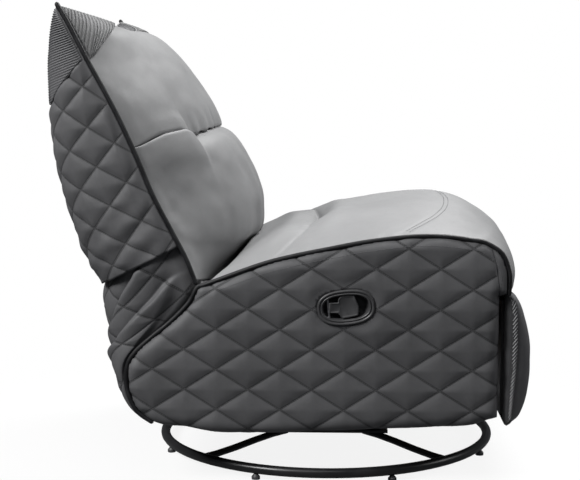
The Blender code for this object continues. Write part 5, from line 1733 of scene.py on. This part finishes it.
class RECLINER_OT_footrest(bpy.types.Operator):
    """Crowned footrest pad with a hatched band round its edge"""
    bl_idname = "recliner.footrest"
    bl_label = "Footrest"

    def execute(self, context):
        self.pad()
        self.band()
        return {"FINISHED"}

    def pad(self):
        """Face of the pad, flat at the back where it lies on its board."""
        shares = column_shares(120)
        places = span(0.0, 1.0, 70)
        face = Route(side_view(PAD_FACE))(places)
        seam = Route(side_view(PAD_SEAM))(places)
        outer, inner = PAD_CROWN_POWERS
        crown = (1.0 - np.abs(shares)[:, None] ** outer) ** inner
        side = seam[None] + (face - seam)[None] * crown[..., None]
        points = with_width(shares * (PAD_HALF - PAD_INSET), side)
        normals = outward_normals(points, INSIDE["footrest"])
        rim = calm_rim(edge_distance(shares, PAD_HALF), places, 0.03, 0.08, 0.92)
        points = points + normals * (drift(points, *PAD_DRIFT) * rim)[..., None]
        back = points.copy()
        back[..., 1] = PAD_BACK_Y
        padded_cover("footrest_cover", grid_body(points, back), finish("dark_leather"),
                     "footrest", "dark_leather", "footrest_pad")

    def band(self):
        """Ribbed strip round the pad's edge, whipped to it by a row of slanting stitches."""
        low, high = PAD_SEAM[-1][1], PAD_SEAM[0][1]
        outline, travel = rounded_rectangle(PAD_HALF, low, high, BAND_RADIUS, BAND_PITCH)
        front = Route([(z, y) for y, z in reversed(side_view(PAD_SEAM))]).points
        depth = BAND_REAR_Y - np.interp(outline[:, 1], front[:, 0], front[:, 1])
        turn = np.roll(outline, -1, axis=0) - np.roll(outline, 1, axis=0)
        outward = unit(np.stack((turn[:, 1], -turn[:, 0]), 1))

        def ring(share, height):
            """Closed line round the band at a share of its depth, raised by a height."""
            place = outline + outward * height
            return np.stack((place[:, 0], BAND_REAR_Y - share * depth, place[:, 1]), 1)

        def skin(share):
            """Outer line of the band at a share of its depth, with its slanting ribs."""
            swell = math.sin(math.pi * share)
            bulge = BAND_LIFT + BAND_BULGE * swell - BAND_TUCK * (1.0 - share) ** 4
            way = travel * BAND_SLANT - share * depth
            ribs = BAND_RIB * np.abs(np.sin(way * math.pi / BAND_RIB_PITCH))
            return ring(share, (bulge + ribs * swell)[:, None])

        loops = [skin(k / BAND_LOOPS) for k in range(BAND_LOOPS + 1)]
        loops += [ring(share, -BAND_WALL) for share in (1.0, 0.0)]
        # The band takes the dark leather with painted shade.
        piece = loft("footrest_band", loops, finish("ribbed_band"), closed=True)
        settle(piece, "footrest", "dark_leather")
        near, far = (skin(share) for share in WHIP_SHARES)
        lift = np.stack((outward[:, 0], np.zeros(len(outward)), outward[:, 1]), 1) * WHIP_LIFT
        dashes = []
        for k in range(0, len(outline) - WHIP_ACROSS - 1, WHIP_STEP):
            end, middle = k + WHIP_ACROSS, k + WHIP_ACROSS // 2
            dashes.append([near[end] - lift[end] * 0.5, (near[end] + far[k]) / 2 + lift[middle],
                           far[k] - lift[k] * 0.5])
        row = tube("footrest_whip_stitches", dashes, WHIP_RADIUS, finish("pale_thread"),
                   resolution=1)
        settle(row, "footrest", "piping")


# Handle

# The cup's face, and its section as pairs of how far inside its oval and how far out
CUP_FACE = 0.4050
CUP_PROFILE = [
    (0.0125, -0.0480), (0.0060, -0.0300), (0.0030, -0.0080), (0.0001, -0.0030), (0.0000, 0.0015),
    (0.0012, 0.0036), (0.0030, 0.0044), (0.0048, 0.0036), (0.0062, 0.0016), (0.0074, 0.0018),
    (0.0086, 0.0033), (0.0100, 0.0030), (0.0112, 0.0012), (0.0125, -0.0060), (0.0145, -0.0170),
    (0.0180, -0.0240), (0.0240, -0.0262)]

# Side view of the paddle, the radii of its corners, and its layers as pairs of how far inside
# the outline and how far from the outer face
PADDLE = [
    (-0.0095, 0.3634), (-0.0282, 0.3630), (-0.0375, 0.3512), (-0.0700, 0.3590), (-0.0705, 0.3766),
    (-0.0605, 0.4010), (-0.0340, 0.3995), (-0.0285, 0.3935), (-0.0280, 0.3848), (-0.0095, 0.3838)]
PADDLE_RADII = (0.001, 0.003, 0.003, 0.003, 0.004, 0.004, 0.004, 0.003, 0.002, 0.001)
PADDLE_LAYERS = (
    (0.0016, 0.0078), (0.0, 0.0064), (0.0, 0.0022), (0.0010, 0.0006), (0.0026, 0.0002),
    (0.0045, 0.0010), (0.0060, 0.0018))


class RECLINER_OT_handle(bpy.types.Operator):
    """Moulded cup in the right side with its pull paddle"""
    bl_idname = "recliner.handle"
    bl_label = "Handle cup and paddle"

    def execute(self, context):
        loops = [[(-CUP_FACE - rise, y, z) for y, z in cup_rim(-inset)]
                 for inset, rise in CUP_PROFILE]
        cup = loft("handle_cup_moulding", loops, finish("moulding"), sharp=50)
        settle(cup, "seat", "moulding", "handle_cup")
        self.paddle()
        return {"FINISHED"}

    def paddle(self):
        """Blade with a thumb hollow, a bevelled edge and a stem on its pin."""
        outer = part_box("release_lever")[0][0]
        shape = rounded_corners(side_view(PADDLE), PADDLE_RADII)
        centre = shape.mean(axis=0)
        away = shape - centre
        size = np.linalg.norm(away, axis=1, keepdims=True)
        loops = []
        for inset, depth in PADDLE_LAYERS:
            layer = centre + away * (1.0 - inset / size)
            loops.append([(outer + depth, y, z) for y, z in layer])
        piece = loft("pull_paddle", loops, finish("moulding"), sharp=45)
        settle(piece, "handle", "moulding", "release_lever")


CORNER_SHARE = 0.45
CORNER_STEPS = 6


def rounded_corners(corners, radii):
    """Closed outline through corners, each rounded by its own radius."""
    outline = []
    for k, radius in enumerate(radii):
        corner = np.array(corners[k])
        before = np.array(corners[k - 1]) - corner
        after = np.array(corners[(k + 1) % len(corners)]) - corner
        room = min(np.linalg.norm(before), np.linalg.norm(after))
        reach = min(radius, CORNER_SHARE * room)
        start = corner + unit(before) * reach
        end = corner + unit(after) * reach
        for t in np.linspace(0.0, 1.0, CORNER_STEPS + 1):
            outline.append(start * (1 - t) ** 2 + corner * 2 * t * (1 - t) + end * t ** 2)
    return np.array(outline)


# Base and hardware

# Finishes of the frame's own nodes, by how their names start
KEPT_FINISHES = {
    "steel": ("base_leg", "base_plate", "turntable_plate", "rocker_yoke", "rocker_hub", "cross_rail",
              "mechanism_plate", "back_bracket", "swivel_bearing"),
    "zinc": ("king_pin", "rocker_pin", "front_link", "rear_link", "footrest_carrier",
             "torque_tube", "footrest_bracket", "lever_pin"),
    "board": ("side_board", "seat_frame", "seat_deck", "back_frame"),
    "moulding": ("floor_glide", "footrest_board"),
}


RING_STEPS = 192


class RECLINER_OT_base(bpy.types.Operator):
    """Round floor ring of the swivel base"""
    bl_idname = "recliner.base"
    bl_label = "Floor ring"

    def execute(self, context):
        low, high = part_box("base_ring")
        radius = (high[2] - low[2]) / 2
        reach = (high[0] - low[0]) / 2 - radius
        turns = np.linspace(0.0, 2 * math.pi, RING_STEPS, endpoint=False)
        path = [(reach * math.cos(a), AXIS_Y + reach * math.sin(a), low[2] + radius) for a in turns]
        ring = tube("floor_ring", [path], radius, finish("steel"), resolution=6, cyclic=True)
        settle(ring, "base", "steel", "base_ring")
        return {"FINISHED"}


# A spring's wire radius, its turns, and how finely it is drawn
SPRING_WIRE = 0.0024
SPRING_TURNS = 4
SPRING_STEPS = 24
WIRE_SIDES = 10


class RECLINER_OT_springs(bpy.types.Operator):
    """Coil springs of the rocker, between the turntable and the seat"""
    bl_idname = "recliner.springs"
    bl_label = "Rocker springs"

    def execute(self, context):
        for fore in ("front", "rear"):
            low, high = (np.array(corner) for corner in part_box("rocker_spring_" + fore))
            centre = (low + high) / 2
            reach = (high[0] - low[0]) / 2 - SPRING_WIRE
            a = np.linspace(0.0, SPRING_TURNS * 2 * math.pi, SPRING_TURNS * SPRING_STEPS + 1)
            radial = np.stack((np.cos(a), np.sin(a), 0.0 * a), 1)
            path = centre + reach * radial
            path[:, 2] = np.linspace(low[2] + SPRING_WIRE, high[2] - SPRING_WIRE, len(a))
            across = unit(np.cross(np.gradient(path, axis=0), radial))
            rings = [path + SPRING_WIRE * (radial * math.cos(b) + across * math.sin(b))
                     for b in np.linspace(0.0, 2 * math.pi, WIRE_SIDES, endpoint=False)]
            coil = loft("rocker_coil_" + fore, np.stack(rings, 1), finish("zinc"))
            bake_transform(coil)
            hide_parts("rocker_spring_" + fore)
        return {"FINISHED"}


class RECLINER_OT_hardware(bpy.types.Operator):
    """Finishes of the frame's own steel, zinc, wood and plastic pieces"""
    bl_idname = "recliner.hardware"
    bl_label = "Hardware finishes"

    def execute(self, context):
        for kind, starts in KEPT_FINISHES.items():
            for piece in bpy.data.objects:
                if piece.type == "MESH" and piece.name.startswith(starts):
                    for slot in piece.material_slots:
                        slot.material = finish(kind)
        return {"FINISHED"}


# Stage

# Lamps: name, place, target, size and power
LAMPS = (
    ("top", (1.1, -1.0, 3.4), (0.0, -0.1, 0.5), 2.0, 158.0),
    ("front", (-0.4, -3.6, 2.1), (0.0, 0.0, 0.5), 1.8, 30.0),
    ("rear", (-2.2, 2.6, 3.1), (0.0, 0.2, 0.6), 1.6, 180.0),
    ("fill", (-2.4, 0.3, 3.4), (0.0, 0.0, 0.4), 1.6, 11.0),
)
CAMERA_PLACE = (-3.10, -0.1132, 0.83)
CAMERA_TURN = 2.1
CAMERA_TILT = 6.73
CAMERA_LENS = 84.0
SENSOR_WIDTH = 36.0

# The floor: half its width, its shine, and the shade under the chair, which fades outwards
FLOOR_HALF = 12.0
FLOOR_COLOUR = (0.95, 0.95, 0.95, 1.0)
SHADE_REACH = (0.40, 0.95)
SHADE_ALPHA = 0.12

# Light all round the chair
SKY_COLOUR = (0.92, 0.95, 1.0, 1.0)
SKY_STRENGTH = 0.08


class RECLINER_OT_stage(bpy.types.Operator):
    """Pale floor, soft lights and the camera of a plain product picture"""
    bl_idname = "recliner.stage"
    bl_label = "Stage"

    def execute(self, context):
        scene = bpy.context.scene
        scene.view_settings.view_transform = "Standard"
        floor = self.floor()
        lamps = [self.lamp(*row) for row in LAMPS]
        camera = self.camera()
        self.background(scene)
        return {"FINISHED"}

    def floor(self):
        """Sheer floor that shows only a soft shade under the chair."""
        bm = bmesh.new()
        bmesh.ops.create_grid(bm, x_segments=1, y_segments=1, size=FLOOR_HALF)
        mesh = bpy.data.meshes.new("studio_floor")
        bm.to_mesh(mesh)
        bm.free()
        g = Graph("studio_floor")
        reach = g.node("ShaderNodeVectorMath", operation="LENGTH")
        g.feed(reach.inputs[0], g.place)
        shadow = g.ramp(reach.outputs["Value"], *SHADE_REACH, start=SHADE_ALPHA, stop=0.0)
        mesh.materials.append(g.set(Base_Color=FLOOR_COLOUR, Roughness=0.9, Alpha=shadow,
                                    Specular_IOR_Level=0.1))
        floor = bpy.data.objects.new("studio_floor", mesh)
        bpy.context.collection.objects.link(floor)
        return floor

    def lamp(self, name, place, target, size, power):
        """Round soft lamp turned towards its target."""
        data = bpy.data.lights.new(name, "AREA")
        data.shape = "DISK"
        data.size = size
        data.energy = power
        lamp = bpy.data.objects.new(name, data)
        lamp.location = place
        toward = Vector(target) - Vector(place)
        lamp.rotation_euler = toward.to_track_quat("-Z", "Y").to_euler()
        bpy.context.collection.objects.link(lamp)
        return lamp

    def camera(self):
        """Camera of the product picture, a little above the chair and turned down to it."""
        data = bpy.data.cameras.new("product_camera")
        data.lens = CAMERA_LENS
        data.sensor_width = SENSOR_WIDTH
        camera = bpy.data.objects.new("product_camera", data)
        camera.location = CAMERA_PLACE
        turn, tilt = math.radians(CAMERA_TURN), math.radians(CAMERA_TILT)
        forward = Vector((math.cos(turn) * math.cos(tilt), math.sin(turn) * math.cos(tilt),
                          -math.sin(tilt)))
        camera.rotation_euler = forward.to_track_quat("-Z", "Y").to_euler()
        bpy.context.collection.objects.link(camera)
        bpy.context.scene.camera = camera
        return camera

    def background(self, scene):
        """White behind the chair, and a softer grey light all round it."""
        world = bpy.data.worlds.new("studio")
        world.use_nodes = True
        tree = world.node_tree
        tree.nodes.clear()
        rays = tree.nodes.new("ShaderNodeLightPath")
        white, soft = (tree.nodes.new("ShaderNodeBackground") for _ in range(2))
        white.inputs["Color"].default_value = (1.0, 1.0, 1.0, 1.0)
        soft.inputs["Color"].default_value = SKY_COLOUR
        soft.inputs["Strength"].default_value = SKY_STRENGTH
        choice = tree.nodes.new("ShaderNodeMixShader")
        out = tree.nodes.new("ShaderNodeOutputWorld")
        tree.links.new(rays.outputs["Is Camera Ray"], choice.inputs[0])
        tree.links.new(soft.outputs[0], choice.inputs[1])
        tree.links.new(white.outputs[0], choice.inputs[2])
        tree.links.new(choice.outputs[0], out.inputs[0])
        scene.world = world


STEPS = (
    RECLINER_OT_seat_cushion, RECLINER_OT_back_cushions, RECLINER_OT_side_panels,
    RECLINER_OT_back_shell, RECLINER_OT_corner_patches, RECLINER_OT_lower_cover,
    RECLINER_OT_tuck_in, RECLINER_OT_piping, RECLINER_OT_footrest, RECLINER_OT_handle,
    RECLINER_OT_base, RECLINER_OT_springs, RECLINER_OT_hardware, RECLINER_OT_stage,
)


class RECLINER_PT_panel(bpy.types.Panel):
    """Colours, sizes and steps of the recliner"""
    bl_idname = "RECLINER_PT_panel"
    bl_label = "Recliner"
    bl_space_type = "VIEW_3D"
    bl_region_type = "UI"
    bl_category = "Recliner"

    def draw(self, context):
        layout = self.layout
        for group in (context.scene.recliner_colours, context.scene.recliner_sizes):
            box = layout.box()
            for name in group.__annotations__:
                box.prop(group, name)
        for step in STEPS:
            layout.operator(step.bl_idname)


CLASSES = (ReclinerColours, ReclinerSizes) + STEPS + (RECLINER_PT_panel,)


def register():
    """Register the classes and the two groups of settings."""
    for kind in CLASSES:
        bpy.utils.register_class(kind)
    bpy.types.Scene.recliner_colours = PointerProperty(type=ReclinerColours)
    bpy.types.Scene.recliner_sizes = PointerProperty(type=ReclinerSizes)


def unregister():
    """Take back what register did."""
    del bpy.types.Scene.recliner_sizes
    del bpy.types.Scene.recliner_colours
    for kind in reversed(CLASSES):
        bpy.utils.unregister_class(kind)


def main():
    """Build every piece."""
    register()
    for step in STEPS:
        group, name = step.bl_idname.split(".")
        getattr(getattr(bpy.ops, group), name)()


if __name__ == "__main__":
    main()
